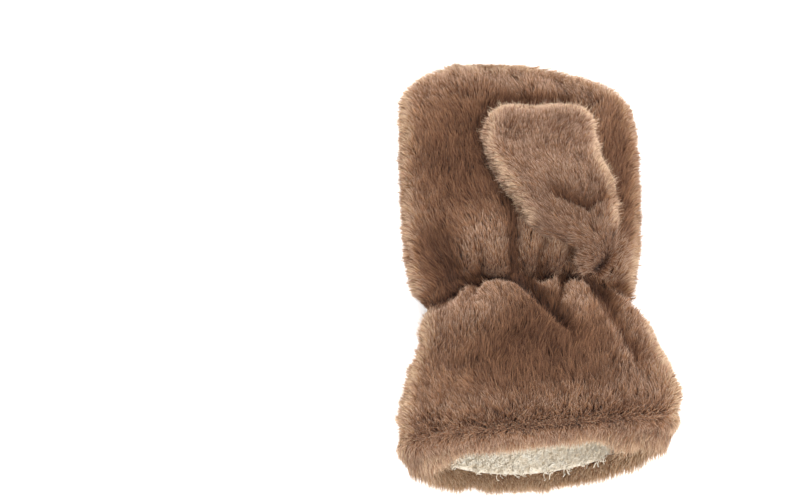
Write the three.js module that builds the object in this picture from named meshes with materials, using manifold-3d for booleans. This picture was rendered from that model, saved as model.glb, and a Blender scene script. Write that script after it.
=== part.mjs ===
// A faux-fur winter mitten for the right hand, lying on its back with the palm up.
// Millimetres, +X towards the thumb side, +Y towards the fingertips, +Z up from the surface it lies on.
// The fur shells are hollow walls: a knitted backing with deep pile. The pile's outer form is made as rows of
// pointed locks fused to that backing, and it is pressed flat where the mitten lies and where the thumb rests.
import * as THREE from "three";
import Module from "manifold-3d";
import { mergeVertices } from "three/addons/utils/BufferGeometryUtils.js";

const wasm = await Module();
wasm.setup();

// Depths below the tips of the pile
const LOCK_NOTCH = 3.2;
const LOCK_ROOT = 5.6;
const PRESSED_PILE = 2.5;
const WALL_INSIDE = 12;
const LINING_OUTSIDE = 12.6;
const LINING_INSIDE = 17;
const FIT_GAP = 0.4;
// Edges shorter than this are merged after the cuts
const SHORTEST_EDGE = 0.08;

// Where the mitten's own centre lies in the tables below
const CENTRE = { x: 5.06, y: 22.48 };

// Outline of the pile, from the hem to the fingers: sides, palm height and underside height
const BODY_ROWS = [
  { y: -106, left: -84, right: 90, top: 56, base: -2 },
  { y: -95, left: -87.5, right: 95, top: 58, base: -3 },
  { y: -83, left: -88, right: 97, top: 60, base: -3 },
  { y: -67, left: -86, right: 97, top: 61, base: -3 },
  { y: -48, left: -81, right: 91, top: 62, base: -3 },
  { y: -30, left: -74.5, right: 83, top: 61, base: -1 },
  { y: -14, left: -75, right: 78, top: 55, base: 1 },
  { y: -4, left: -77, right: 74, top: 53, base: 2 },
  { y: 8, left: -80, right: 70, top: 56, base: 1 },
  { y: 26, left: -83, right: 72, top: 60, base: -2 },
  { y: 50, left: -85, right: 74, top: 62, base: -3 },
  { y: 95, left: -87, right: 74, top: 61, base: -3 },
  { y: 130, left: -87, right: 72, top: 58, base: -3 },
  { y: 164, left: -87, right: 72, top: 56, base: -3 },
];
const MIDDLE_HEIGHT = 27;
const WRIST_Y = -4;
const TIP_Y = 163;
// How the fingertip end rounds off: length of the round stretch, and how far each side is drawn in by it
const TIP_ROUND = {
  height: { reach: 34 },
  left: { reach: 30, cut: 42 },
  right: { reach: 38, cut: 94 },
};
const CUT_EASED_OVER = 60;
const SECTION_BOXINESS = 0.72;
const FLOOR_PRESS = 0.6;

// Elastic at the wrist, and the folds that it gathers, each from the wrist up the hand and down the cuff
const WRIST_GROOVE = { depth: 9, handWidth: 3, cuffWidth: 4, wider: 6, sides: 76 };
const FOLDS = [
  { side: "palm", x: -57, up: 36, lean: -9, down: 20, spread: -7, depth: 10, width: 11 },
  { side: "palm", x: -38, up: 20, lean: 3, down: 26, spread: -4, depth: 7, width: 5 },
  { side: "palm", x: -11, up: 86, lean: -5, down: 50, spread: 50, depth: 12, width: 6 },
  { side: "palm", x: 6, up: 34, lean: 1, down: 10, spread: 0, depth: 9, width: 3.5 },
  { side: "palm", x: 23, up: 38, lean: 7, down: 34, spread: -7, depth: 8, width: 4 },
  { side: "palm", x: 42, up: 56, lean: 13, down: 86, spread: 54, depth: 14, width: 6 },
  { side: "palm", x: 66, up: 20, lean: 4, down: 16, spread: 5, depth: 6, width: 7 },
  { side: "back", x: -54, up: 34, lean: -8, down: 26, spread: -8, depth: 7, width: 8 },
  { side: "back", x: -25, up: 88, lean: -16, down: 24, spread: -5, depth: 9, width: 8 },
  { side: "back", x: -4, up: 24, lean: 0, down: 18, spread: 0, depth: 6, width: 5 },
  { side: "back", x: 9, up: 70, lean: 3, down: 22, spread: 2, depth: 9, width: 7 },
  { side: "back", x: 25, up: 40, lean: 6, down: 56, spread: 14, depth: 7, width: 6 },
  { side: "back", x: 48, up: 30, lean: 8, down: 30, spread: 9, depth: 7, width: 8 },
];
const MOST_CARVED = 9.4;

// How far the wrist line rises towards the fingers between the two sides, and how far along that pulls
const WRIST_BEND = { palm: 16, back: 6, reach: 45 };
// Where the palm side swells: beside the gathers, at the gusset below the thumb, and on the cuff's lobes
const PUFFS = [
  { x: -31, y: 16, halfWidth: 17, halfLength: 20, rise: 9 },
  { x: -3, y: 20, halfWidth: 8, halfLength: 17, rise: 5 },
  { x: 16, y: 16, halfWidth: 9, halfLength: 16, rise: 7 },
  { x: 37, y: 14, halfWidth: 10, halfLength: 14, rise: 4 },
  { x: 60, y: 10, halfWidth: 12, halfLength: 16, rise: 9 },
  { x: -38, y: -24, halfWidth: 22, halfLength: 19, rise: 9 },
  { x: 3, y: -15, halfWidth: 8, halfLength: 9, rise: 6 },
  { x: 25, y: -19, halfWidth: 12, halfLength: 20, rise: 8 },
  { x: 62, y: -29, halfWidth: 12, halfLength: 24, rise: 9 },
];

// The mouth of the cuff: the underside reaches further out than the palm side, and the thumb side less far
const MOUTH = { from: -20, over: 80, underLip: -20.5, slant: 0.1 };
// How much shorter the hem is on each side, and how much flatter underneath, where the mitten lies on it
const HEM_SHORTER = { palm: 0.32, sides: 0.45, under: 0.38 };
const UNDER_HEM_THINNER = 0.15;
// The turned hem: distance past the mouth's line and depth below the pile's tips, from the crease round to the inside
const HEM_PROFILE = [
  { y: -85, inset: 3.4, locks: 0 },
  { y: -89, inset: 0.8, locks: 0 },
  { y: -94, inset: 0.8, locks: 1 },
  { y: -99.5, inset: 2.8, locks: 1.6 },
  { y: -103.3, inset: 6.5, locks: 2 },
  { y: -104, inset: 10.5, locks: 1.6 },
  { y: -101.5, inset: 14.6, locks: 1 },
  { y: -97, inset: 17, locks: 0.6 },
  { y: -93.5, inset: 16.6, locks: 0 },
];

// Thumb: a pillow lying on the palm, with its own outline
const THUMB_ROWS = [
  { y: 11, left: 30, right: 47, top: 66, middle: 56, base: 51 },
  { y: 20, left: 29, right: 51, top: 69, middle: 57, base: 51 },
  { y: 29, left: 26, right: 54, top: 72, middle: 58, base: 51 },
  { y: 36, left: 8, right: 55, top: 76, middle: 60, base: 51 },
  { y: 47, left: -4, right: 55, top: 81, middle: 63, base: 51 },
  { y: 58, left: -11, right: 54, top: 86, middle: 65, base: 52 },
  { y: 72, left: -20, right: 51, top: 90, middle: 68, base: 53 },
  { y: 88, left: -28.5, right: 43.5, top: 90, middle: 68, base: 54 },
  { y: 100, left: -31, right: 42, top: 88, middle: 68, base: 54 },
  { y: 123, left: -31, right: 41, top: 86, middle: 67, base: 53 },
];
const THUMB_TIP_Y = 123;
// The pile tapers down to the wrist as a gusset; the hollow inside ends further up
const THUMB_REAR_Y = 11;
const THUMB_HOLLOW_REAR_Y = 31;
const THUMB_ROUND = { tip: 24, rear: 18, tipSides: 17, tipCut: 15, rearCut: 15, tailCut: 5 };
// The fold across the thumb's root, from its middle down to the kink and up to its right side
const THUMB_CREASE = { from: 8, y: 60, kink: 36, falls: 0.4, rises: 0.6, depth: 5, width: 4 };
const THUMB_WALL = { inside: 9.5, liningOutside: 10, liningInside: 13, pressed: 4.4 };
const NECK = { x: 33, y: 60, rx: 16, ry: 16, wall: 3, low: 30, high: 65.4 };

// Leather label sewn on the back of the cuff, its ends squared and its upper edge bowed
const LABEL = { x: -17, y: -31, width: 50, height: 25, slope: -0.12, thick: 1.4, bow: 2, depth: 4.6, pocket: 0.6 };

const SEGMENTS = 52;
const THUMB_SEGMENTS = 32;
const LOCK_PITCH = 13;
// Rings that the inside of the wall and both faces of the lining share, up to the round end
const CUFF_RINGS = [-86.5, -66, -42, -20];
const HAND_RINGS = [10, 28, 60, 112];

const smooth = (t) => {
  const c = Math.min(1, Math.max(0, t));
  return c * c * (3 - 2 * c);
};
const roundOff = (t) => (t >= 1 ? 1 : Math.sqrt(Math.max(0, 1 - (1 - t) ** 2)));

// A column of a table at y, by a cubic through its rows
function column(rows, name, y) {
  const last = rows.length - 1;
  const at = Math.min(Math.max(y, rows[0].y), rows[last].y);
  let i = 0;
  while (i < last - 1 && at > rows[i + 1].y) i += 1;
  const slope = (k) => {
    const low = Math.max(k - 1, 0);
    const high = Math.min(k + 1, last);
    return (rows[high][name] - rows[low][name]) / (rows[high].y - rows[low].y);
  };
  const span = rows[i + 1].y - rows[i].y;
  const t = (at - rows[i].y) / span;
  const [v0, v1, m0, m1] = [rows[i][name], rows[i + 1][name], slope(i) * span, slope(i + 1) * span];
  return (
    v0 * (2 * t ** 3 - 3 * t ** 2 + 1) +
    m0 * (t ** 3 - 2 * t ** 2 + t) +
    v1 * (3 * t ** 2 - 2 * t ** 3) +
    m1 * (t ** 3 - t ** 2)
  );
}

// Angles that split a flattened section into stretches of about equal length
function evenAngles(count) {
  const steps = 2000;
  const outline = (a) => [80 * Math.cos(a), 30 * Math.sign(Math.sin(a)) * Math.abs(Math.sin(a)) ** SECTION_BOXINESS];
  const lengths = [0];
  for (let i = 1; i <= steps; i += 1) {
    const [x0, z0] = outline(((i - 1) / steps) * 2 * Math.PI);
    const [x1, z1] = outline((i / steps) * 2 * Math.PI);
    lengths.push(lengths[i - 1] + Math.hypot(x1 - x0, z1 - z0));
  }
  const angles = [];
  let i = 0;
  for (let k = 0; k < count; k += 1) {
    while (lengths[i + 1] < (k / count) * lengths[steps]) i += 1;
    angles.push((i / steps) * 2 * Math.PI);
  }
  return angles;
}

// Half-section corners of the body at y: sides, top and base after the fingertip rounding
function bodySection(y, inset) {
  const left = column(BODY_ROWS, "left", y) + inset;
  const right = column(BODY_ROWS, "right", y) - inset;
  const toTip = TIP_Y - inset - y;
  const eased = 1 - inset / CUT_EASED_OVER;
  const drawnLeft = TIP_ROUND.left.cut * eased * (1 - roundOff(toTip / (TIP_ROUND.left.reach - inset / 2)));
  const drawnRight = TIP_ROUND.right.cut * eased * (1 - roundOff(toTip / (TIP_ROUND.right.reach - inset / 2)));
  const full = roundOff(toTip / (TIP_ROUND.height.reach - 0.8 * inset));
  return {
    left: left + drawnLeft,
    right: right - drawnRight,
    above: (column(BODY_ROWS, "top", y) - inset - MIDDLE_HEIGHT) * full,
    below: (MIDDLE_HEIGHT - column(BODY_ROWS, "base", y) - inset) * full,
  };
}

// How deep the gathers and the wrist groove cut into the pile at a place
function carvedDepth(x, y, palm) {
  const t = y - WRIST_Y;
  const narrow = t > 0 ? WRIST_GROOVE.handWidth : WRIST_GROOVE.cuffWidth;
  const width = narrow + WRIST_GROOVE.wider * (x / WRIST_GROOVE.sides) ** 4;
  let depth = WRIST_GROOVE.depth * Math.exp(-((t / width) ** 2));
  for (const fold of FOLDS) {
    if ((fold.side === "palm") !== palm) continue;
    const along = t > 0 ? t / fold.up : -t / fold.down;
    if (along >= 1) continue;
    const middle = fold.x + along * (t > 0 ? fold.lean : fold.spread);
    depth += fold.depth * (1 - along ** 2) ** 2 * Math.exp(-(((x - middle) / fold.width) ** 2));
  }
  return depth;
}

// How far the palm swells out at a place
function puffed(x, y) {
  return PUFFS.reduce((sum, puff) => {
    const away = ((x - puff.x) / puff.halfWidth) ** 2 + ((y - puff.y) / puff.halfLength) ** 2;
    return sum + puff.rise * Math.exp(-away);
  }, 0);
}

// A point of the body's surface; a carved one follows the folds, the wrist groove and the swellings
function bodyPoint(angle, y, inset, carve = false) {
  const [c, s] = [Math.cos(angle), Math.sin(angle)];
  const outline = bodySection(y, 0);
  const x0 = (outline.left + outline.right) / 2 + (c * (outline.right - outline.left)) / 2;
  const carved = carve ? carvedDepth(x0, y, s >= 0) : 0;
  const depth = Math.min(inset + carved, carve ? MOST_CARVED : inset);
  const section = bodySection(y, depth);
  const x = (section.left + section.right) / 2 + (c * (section.right - section.left)) / 2;
  const rise = Math.abs(s) ** SECTION_BOXINESS;
  const swell = carve && s > 0 ? puffed(x, y) * s * (1 - Math.min(1, carved / MOST_CARVED)) : 0;
  const z = MIDDLE_HEIGHT + (s >= 0 ? section.above : -section.below) * rise + swell;
  const out = smooth((MOUTH.from - y) / MOUTH.over);
  const lip = s < 0 ? MOUTH.underLip * Math.abs(s) ** 1.5 : 0;
  const bend = (s < 0 ? WRIST_BEND.back : WRIST_BEND.palm) * (1 - c ** 4);
  const dy = out * (lip + MOUTH.slant * x) + bend * Math.exp(-(((y - WRIST_Y) / WRIST_BEND.reach) ** 2));
  return new THREE.Vector3(x, y + dy, Math.max(z, FLOOR_PRESS * Math.max(depth, 0)));
}

// How far the pile is pressed flat: 1 where it lies on the floor or under the thumb
function pressedShare(angle, y) {
  const section = bodySection(y, 0);
  const s = Math.sin(angle);
  const z = MIDDLE_HEIGHT - section.below * Math.abs(s) ** SECTION_BOXINESS;
  const floor = s < 0 ? smooth((4 - z) / 4) : 0;
  const x = (section.left + section.right) / 2 + (Math.cos(angle) * (section.right - section.left)) / 2;
  const inThumb =
    s > 0 &&
    y > THUMB_REAR_Y - 6 &&
    y < THUMB_TIP_Y + 6 &&
    x > column(THUMB_ROWS, "left", y) - 5 &&
    x < column(THUMB_ROWS, "right", y) + 5;
  return { floor, thumb: inThumb ? 1 : 0 };
}

// A repeatable spread from 0 to 1, so that no two locks next to each other are alike
const varied = (row, i) => Math.abs(Math.sin(12.9898 * row + 78.233 * i) * 43758.5453) % 1;

// One ring of the body's pile; every second point is drawn in, so that the ring's edge is a row of lock tips
function pileRing(angles, y, tip, row) {
  return angles.map((angle, i) => {
    const { floor, thumb } = pressedShare(angle, y);
    const notch = i % 2;
    const spread = varied(row, i);
    const free = tip ? notch * LOCK_NOTCH * (0.7 + 0.6 * spread) : LOCK_ROOT - 1.4 * spread;
    const inset = thumb ? PRESSED_PILE : free * (1 - floor);
    const back = tip ? (notch * 0.26 + 0.14 * spread) * LOCK_PITCH * (1 - thumb) : 0;
    return bodyPoint(angle, y - back, inset, true);
  });
}

// Rows of locks from one end to the other, each row a root ring and a ring of tips
function pileRings(angles, from, to) {
  const count = Math.round((to - from) / LOCK_PITCH);
  const rings = [];
  for (let k = 0; k < count; k += 1) {
    const low = from + ((to - from) * k) / count;
    const high = from + ((to - from) * (k + 1)) / count;
    rings.push(pileRing(angles, k ? low + 0.4 : low, false, k), pileRing(angles, high - 0.4, true, k));
  }
  return rings;
}

// A smooth layer of the body between two places, thinned out towards a rounded end
function layerRings(angles, places, inset) {
  return places.map((y) => angles.map((angle) => bodyPoint(angle, y, inset)));
}

// Places from the last straight ring into the round end, closer together towards the end
function tipPlaces(inset, steps) {
  const from = HAND_RINGS.at(-1);
  const end = TIP_Y - inset;
  const places = Array.from({ length: steps - 1 }, (_, k) => {
    return from + (end - from) * Math.sin(((k + 1) / steps) * (Math.PI / 2));
  });
  return [...places, end - 0.35];
}

// Joins rings of equal count into a closed solid: a loop of rings, or a run with its two ends capped
function loft(rings, loop = false) {
  const count = rings[0].length;
  const positions = rings.flat().flatMap((p) => [p.x, p.y, p.z]);
  const faces = [];
  const joins = loop ? rings.length : rings.length - 1;
  for (let r = 0; r < joins; r += 1) {
    const [a, b] = [r * count, ((r + 1) % rings.length) * count];
    for (let i = 0; i < count; i += 1) {
      const j = (i + 1) % count;
      faces.push(a + i, a + j, b + j, a + i, b + j, b + i);
    }
  }
  if (!loop) {
    for (const [ring, turned] of [[0, true], [rings.length - 1, false]]) {
      const middle = rings[ring].reduce((sum, p) => sum.add(p), new THREE.Vector3()).divideScalar(count);
      const hub = positions.length / 3;
      positions.push(middle.x, middle.y, middle.z);
      for (let i = 0; i < count; i += 1) {
        const [p, q] = [ring * count + i, ring * count + ((i + 1) % count)];
        faces.push(...(turned ? [q, p, hub] : [p, q, hub]));
      }
    }
  }
  const geometry = new THREE.BufferGeometry();
  geometry.setAttribute("position", new THREE.BufferAttribute(new Float32Array(positions), 3));
  geometry.setIndex(faces);
  return outward(geometry);
}

// The geometry as a solid, turned the right way out
function outward(geometry) {
  const merged = mergeVertices(geometry, 1e-4);
  const make = (index) =>
    new wasm.Manifold(
      new wasm.Mesh({ numProp: 3, vertProperties: merged.attributes.position.array, triVerts: index }),
    );
  const index = new Uint32Array(merged.index.array);
  const solid = make(index);
  if (solid.volume() > 0) return solid;
  for (let i = 0; i < index.length; i += 3) [index[i + 1], index[i + 2]] = [index[i + 2], index[i + 1]];
  return make(index);
}

// Closed solid of a three.js geometry that has normals and texture coordinates
function solidOf(geometry) {
  const bare = geometry.index ? geometry.toNonIndexed() : geometry;
  bare.deleteAttribute("normal");
  bare.deleteAttribute("uv");
  return outward(bare);
}

const angles = evenAngles(SEGMENTS);
const smoothAngles = angles.filter((_, i) => i % 2 === 0);

// Hand: the wall's inside from its round end back to the wrist, then the pile outside to the fingertips
function handShell() {
  const start = WRIST_Y + FIT_GAP / 2;
  const places = [start, ...HAND_RINGS, ...tipPlaces(WALL_INSIDE, 4)];
  const inside = layerRings(angles, places, WALL_INSIDE).reverse();
  const outside = pileRings(angles, start, TIP_Y - 12);
  for (const y of [TIP_Y - 11.6, TIP_Y - 6, TIP_Y - 2, TIP_Y - 0.3]) {
    const tip = y > TIP_Y - 3;
    outside.push(angles.map((angle, i) => bodyPoint(angle, y, tip ? 0 : (i % 2) * 1.5)));
  }
  return loft([...inside, ...outside]);
}

// Cuff: pile from the wrist down to the hem's crease, the puffed hem turned inwards, and the wall's inside
function cuffShell() {
  const end = WRIST_Y - FIT_GAP / 2;
  const crease = HEM_PROFILE[0].y;
  const outside = pileRings(angles, crease + 1, end).reverse();
  const hem = HEM_PROFILE.map((row, k) =>
    angles.map((angle, i) => {
      const under = Math.max(0, -Math.sin(angle));
      const { floor } = pressedShare(angle, row.y);
      const lock = row.locks * (i % 2) * (0.6 + 0.8 * varied(k, i)) * (1 - floor);
      const palm = Math.max(0, Math.sin(angle));
      const sides = HEM_SHORTER.sides * (1 - under - palm);
      const shorter = HEM_SHORTER.under * under + HEM_SHORTER.palm * palm + sides;
      const y = crease + (row.y - crease) * (1 - shorter);
      return bodyPoint(angle, y + lock, row.inset * (1 - UNDER_HEM_THINNER * under) + lock);
    }),
  );
  const inside = layerRings(angles, [...CUFF_RINGS, end], WALL_INSIDE);
  return loft([...outside, ...hem, ...inside], true);
}

// Lining: one sherpa bag through the cuff and the hand, its raw edge hidden behind the hem
function lining() {
  const start = CUFF_RINGS[0] + FIT_GAP;
  const shared = [...CUFF_RINGS.slice(1), WRIST_Y, ...HAND_RINGS];
  const outside = [start, ...shared, ...tipPlaces(LINING_OUTSIDE, 4)];
  const inside = [start - 3, start + 8, ...shared, ...tipPlaces(LINING_INSIDE, 4)];
  return loft(layerRings(smoothAngles, outside, LINING_OUTSIDE)).subtract(
    loft(layerRings(smoothAngles, inside, LINING_INSIDE)),
  );
}

// How deep the fold across the thumb's root is at a place
function thumbCrease(x, y) {
  const fold = THUMB_CREASE;
  const past = x - fold.kink;
  const line = fold.y - fold.falls * (fold.kink - fold.from) + (past < 0 ? -fold.falls : fold.rises) * past;
  return fold.depth * Math.exp(-(((y - line) / fold.width) ** 2)) * smooth((x - fold.from) / 10);
}

// A point of the thumb's surface; its underside has a thinner pile, pressed on the palm
function thumbPoint(angle, y, inset) {
  const [c, s] = [Math.cos(angle), Math.sin(angle)];
  const toTip = THUMB_TIP_Y - inset - y;
  const hollow = inset > LOCK_ROOT;
  const toRear = y - (hollow ? THUMB_HOLLOW_REAR_Y : THUMB_REAR_Y) - inset;
  const tip = roundOff(toTip / (THUMB_ROUND.tip - inset / 2));
  const rear = roundOff(toRear / (THUMB_ROUND.rear - inset / 3));
  const rearCut = hollow ? THUMB_ROUND.rearCut : THUMB_ROUND.tailCut;
  const tipSides = roundOff(toTip / (THUMB_ROUND.tipSides - inset / 2));
  const drawn = THUMB_ROUND.tipCut * (1 - tipSides) * (1 - inset / 30) + rearCut * (1 - rear);
  const left = column(THUMB_ROWS, "left", y) + inset + drawn;
  const right = column(THUMB_ROWS, "right", y) - inset - drawn;
  const under = hollow ? inset - THUMB_WALL.pressed : Math.min(inset, 0);
  const middle = column(THUMB_ROWS, "middle", y);
  const above = (column(THUMB_ROWS, "top", y) - inset - middle) * tip * rear;
  const below = (middle - column(THUMB_ROWS, "base", y) - under) * tip * rear;
  const rise = Math.abs(s) ** SECTION_BOXINESS;
  const x = (left + right) / 2 + (c * (right - left)) / 2;
  const crease = s > 0 && inset < LOCK_ROOT ? thumbCrease(x, y) * s : 0;
  return new THREE.Vector3(x, y, middle + (s >= 0 ? above - crease : -below) * rise);
}

const thumbAngles = evenAngles(THUMB_SEGMENTS);
const smoothThumbAngles = thumbAngles.filter((_, i) => i % 2 === 0);

// Places along the thumb between its two round ends for a layer
function thumbPlaces(inset, steps) {
  const [low, high] = [THUMB_HOLLOW_REAR_Y + inset + 0.3, THUMB_TIP_Y - inset - 0.3];
  return Array.from({ length: steps + 1 }, (_, k) => {
    const t = 0.5 - 0.5 * Math.cos((Math.PI * k) / steps);
    return low + (high - low) * (0.35 * (k / steps) + 0.65 * t);
  });
}

function thumbLayer(inset, steps, around = smoothThumbAngles) {
  return loft(thumbPlaces(inset, steps).map((y) => around.map((angle) => thumbPoint(angle, y, inset))));
}

// Thumb pile: rows of locks on its top and sides, and a smooth pressed underside; the dent that it presses
// in the palm is the same form grown by a margin, with no locks
function thumbPile(margin = 0) {
  const rows = 10;
  const ring = (y, tip) =>
    thumbAngles.map((angle, i) => {
      const free = margin ? 0 : smooth((Math.sin(angle) + 0.35) / 0.4);
      const notch = i % 2;
      const back = tip ? notch * 3 * free : 0;
      return thumbPoint(angle, y - back, free * (tip ? notch * LOCK_NOTCH : 0.8 * LOCK_ROOT) - margin);
    });
  const [low, high] = [THUMB_REAR_Y + 4, THUMB_TIP_Y - 8];
  const rear = THUMB_REAR_Y + 0.4 - margin;
  const rings = [thumbAngles.map((angle) => thumbPoint(angle, rear, -margin))];
  for (let k = 0; k < rows; k += 1) {
    const pitch = (high - low) / rows;
    rings.push(ring(low + k * pitch + 0.4, false), ring(low + (k + 1) * pitch - 0.8, true));
  }
  for (const [toEnd, notch] of [[5, 0.8], [2.2, 0.6], [0.8, 0]]) {
    rings.push(thumbAngles.map((angle, i) => thumbPoint(angle, THUMB_TIP_Y - toEnd + margin, (i % 2) * notch - margin)));
  }
  return loft(rings);
}

// The passage between palm and thumb, widened by a margin
function neckTube(margin, low = NECK.low, high = NECK.high) {
  const tube = new THREE.CylinderGeometry(1, 1, high - low, 20);
  tube.scale(NECK.rx + margin, 1, NECK.ry + margin);
  tube.rotateX(Math.PI / 2);
  tube.translate(NECK.x, NECK.y, (low + high) / 2);
  return solidOf(tube);
}

// Leather label: a bowed strip that follows the cuff's underside at its depth
function labelSolid(margin, outer, innerDepth) {
  const [across, along] = [8, 3];
  const sheet = (depth, push) => {
    const rows = [];
    for (let j = 0; j <= along; j += 1) {
      for (let i = 0; i <= across; i += 1) {
        const u = i / across;
        const v = j / along;
        const x = LABEL.x + (u - 0.5) * (LABEL.width + 2 * margin);
        const bow = LABEL.bow * (1 - (2 * u - 1) ** 2);
        const y = LABEL.y + (v - 0.5) * (LABEL.height + 2 * margin) + bow * v + LABEL.slope * (x - LABEL.x);
        rows.push(new THREE.Vector3(x, y, undersideHeight(x, y, depth) - push));
      }
    }
    return rows;
  };
  const [inner, outerSheet] = [sheet(innerDepth, 0), sheet(innerDepth, outer)];
  const count = inner.length;
  const positions = [...inner, ...outerSheet].flatMap((p) => [p.x, p.y, p.z]);
  const faces = [];
  const at = (i, j) => j * (across + 1) + i;
  for (let j = 0; j < along; j += 1) {
    for (let i = 0; i < across; i += 1) {
      const [a, b, c, d] = [at(i, j), at(i + 1, j), at(i + 1, j + 1), at(i, j + 1)];
      faces.push(a, b, c, a, c, d, count + a, count + c, count + b, count + a, count + d, count + c);
    }
  }
  const edge = [];
  for (let i = 0; i < across; i += 1) edge.push(at(i, 0));
  for (let j = 0; j < along; j += 1) edge.push(at(across, j));
  for (let i = across; i > 0; i -= 1) edge.push(at(i, along));
  for (let j = along; j > 0; j -= 1) edge.push(at(0, j));
  edge.forEach((p, k) => {
    const q = edge[(k + 1) % edge.length];
    faces.push(q, p, count + p, q, count + p, count + q);
  });
  const geometry = new THREE.BufferGeometry();
  geometry.setAttribute("position", new THREE.BufferAttribute(new Float32Array(positions), 3));
  geometry.setIndex(faces);
  return outward(geometry);
}

// Height of the body's underside above a place, at a depth in the pile
function undersideHeight(x, y, depth) {
  const section = bodySection(y, depth);
  const c = (2 * x - section.left - section.right) / (section.right - section.left);
  const rise = Math.sqrt(Math.max(0, 1 - c * c)) ** SECTION_BOXINESS;
  return Math.max(MIDDLE_HEIGHT - section.below * rise, FLOOR_PRESS * depth);
}

// Materials, after the photographed colours
const fur = new THREE.MeshStandardMaterial({ color: 0x8f6f5b, roughness: 0.85, metalness: 0 });
const sherpa = new THREE.MeshStandardMaterial({ color: 0xd9cbb4, roughness: 0.95, metalness: 0 });
const leather = new THREE.MeshStandardMaterial({ color: 0x6d5548, roughness: 0.6, metalness: 0 });

function meshOf(name, solid, material) {
  const made = solid.asOriginal().simplify(SHORTEST_EDGE).simplify(SHORTEST_EDGE).getMesh();
  const geometry = new THREE.BufferGeometry();
  geometry.setAttribute("position", new THREE.BufferAttribute(made.vertProperties, 3));
  geometry.setIndex(new THREE.BufferAttribute(made.triVerts, 1));
  geometry.computeVertexNormals();
  const mesh = new THREE.Mesh(geometry, material);
  mesh.name = name;
  return mesh;
}

const thumbDent = thumbPile(1.9 * FIT_GAP);
const hand = handShell().subtract(thumbDent).subtract(neckTube(FIT_GAP));
const cuff = cuffShell().subtract(labelSolid(LABEL.pocket, 12, LABEL.depth + FIT_GAP));
const thumb = thumbPile()
  .subtract(thumbLayer(THUMB_WALL.inside, 9))
  .subtract(neckTube(FIT_GAP));
const handLining = lining().subtract(neckTube(FIT_GAP));
const thumbLining = thumbLayer(THUMB_WALL.liningOutside, 9)
  .add(neckTube(0, NECK.low + 12, NECK.high - 4))
  .subtract(thumbLayer(THUMB_WALL.liningInside, 9))
  .subtract(neckTube(-NECK.wall));
const label = labelSolid(0, LABEL.thick, LABEL.depth);

const mitten = new THREE.Group();
mitten.add(
  meshOf("hand_shell", hand, fur),
  meshOf("cuff_shell", cuff, fur),
  meshOf("thumb_shell", thumb, fur),
  meshOf("hand_lining", handLining, sherpa),
  meshOf("thumb_lining", thumbLining, sherpa),
  meshOf("cuff_label", label, leather),
);
mitten.position.set(-CENTRE.x, -CENTRE.y, 0);

export default mitten;
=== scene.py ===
# A faux-fur winter mitten for the right hand, lying on its back with the palm up.
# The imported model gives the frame: +X towards the thumb side, +Y towards the fingertips, +Z up.
# The tables below hold millimetres, measured from a point near the wrist; the meshes are in metres.
import math

import bpy
import numpy as np
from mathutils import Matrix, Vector


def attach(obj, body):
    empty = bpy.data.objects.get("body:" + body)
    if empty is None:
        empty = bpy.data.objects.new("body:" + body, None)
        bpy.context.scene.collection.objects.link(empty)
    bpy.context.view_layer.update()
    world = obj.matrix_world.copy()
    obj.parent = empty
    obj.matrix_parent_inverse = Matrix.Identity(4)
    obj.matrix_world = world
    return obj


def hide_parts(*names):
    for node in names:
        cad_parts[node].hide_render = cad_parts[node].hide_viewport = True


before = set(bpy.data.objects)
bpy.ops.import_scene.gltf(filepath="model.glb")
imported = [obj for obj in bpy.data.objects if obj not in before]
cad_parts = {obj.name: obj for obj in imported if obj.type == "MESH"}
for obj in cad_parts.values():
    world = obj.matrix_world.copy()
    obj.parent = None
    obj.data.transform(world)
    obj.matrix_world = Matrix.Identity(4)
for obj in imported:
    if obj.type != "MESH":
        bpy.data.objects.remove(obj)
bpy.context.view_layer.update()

bl_info = {
    "name": "Faux-Fur Mitten",
    "version": (1, 0, 0),
    "blender": (4, 5, 0),
    "location": "View3D > Sidebar > Mitten",
    "description": "Builds a fur mitten with its pile, turned hem, sherpa lining and leather label",
    "category": "Object",
}

# Where the mitten's own centre lies in the tables
CENTRE = np.array([5.06, 22.48, 0.0])

# Depths below the tips of the pile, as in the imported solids
WALL_INSIDE = 12.0
MOST_CARVED = 9.4
PELT_CARVED = 10.6
PELT_OUTSIDE = 6.4
ROOT_DEPTH = {"body": 6.0, "thumb": 5.0}
# Down in a fold the pile is still this long
LEAST_PILE = 4.2
# Heights at which the body is widest, and at which the palm's pile meets that of the back
MIDDLE_HEIGHT = 27.0
SIDES_PART_AT = 13.0
WRIST_Y = -4.0
TIP_Y = 163.0
# A section is an ellipse at 1, and squarer below that
SECTION_BOXINESS = 0.72
# Share of its depth that the pelt keeps from the floor, where the pile is pressed flat
FLOOR_PRESS = 0.6


def table(names, *rows):
    """Rows of numbers as one array for each named column."""
    return dict(zip(names.split(), np.array(rows, dtype=float).T))


# Outline of the pile, from the hem to the fingers
BODY_ROWS = table(
    "y left right top base",
    (-106, -84, 90, 56, -2),
    (-95, -87.5, 95, 58, -3),
    (-83, -88, 97, 60, -3),
    (-67, -86, 97, 61, -3),
    (-48, -81, 91, 62, -3),
    (-30, -74.5, 83, 61, -1),
    (-14, -75, 78, 55, 1),
    (-4, -77, 74, 53, 2),
    (8, -80, 70, 56, 1),
    (26, -83, 72, 60, -2),
    (50, -85, 74, 62, -3),
    (95, -87, 74, 61, -3),
    (130, -87, 72, 58, -3),
    (164, -87, 72, 56, -3),
)
# How far from the tip its rounding starts, and how much it cuts off each side
TIP_HEIGHT_REACH = 34.0
TIP_LEFT = {"reach": 30.0, "cut": 42.0}
TIP_RIGHT = {"reach": 38.0, "cut": 94.0}
CUT_EASED_OVER = 60.0

# The groove that the elastic draws in round the wrist, wider at the sides
GROOVE = {"depth": 9.0, "hand_width": 3.0, "cuff_width": 4.0, "wider": 6.0, "sides": 76.0}
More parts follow.
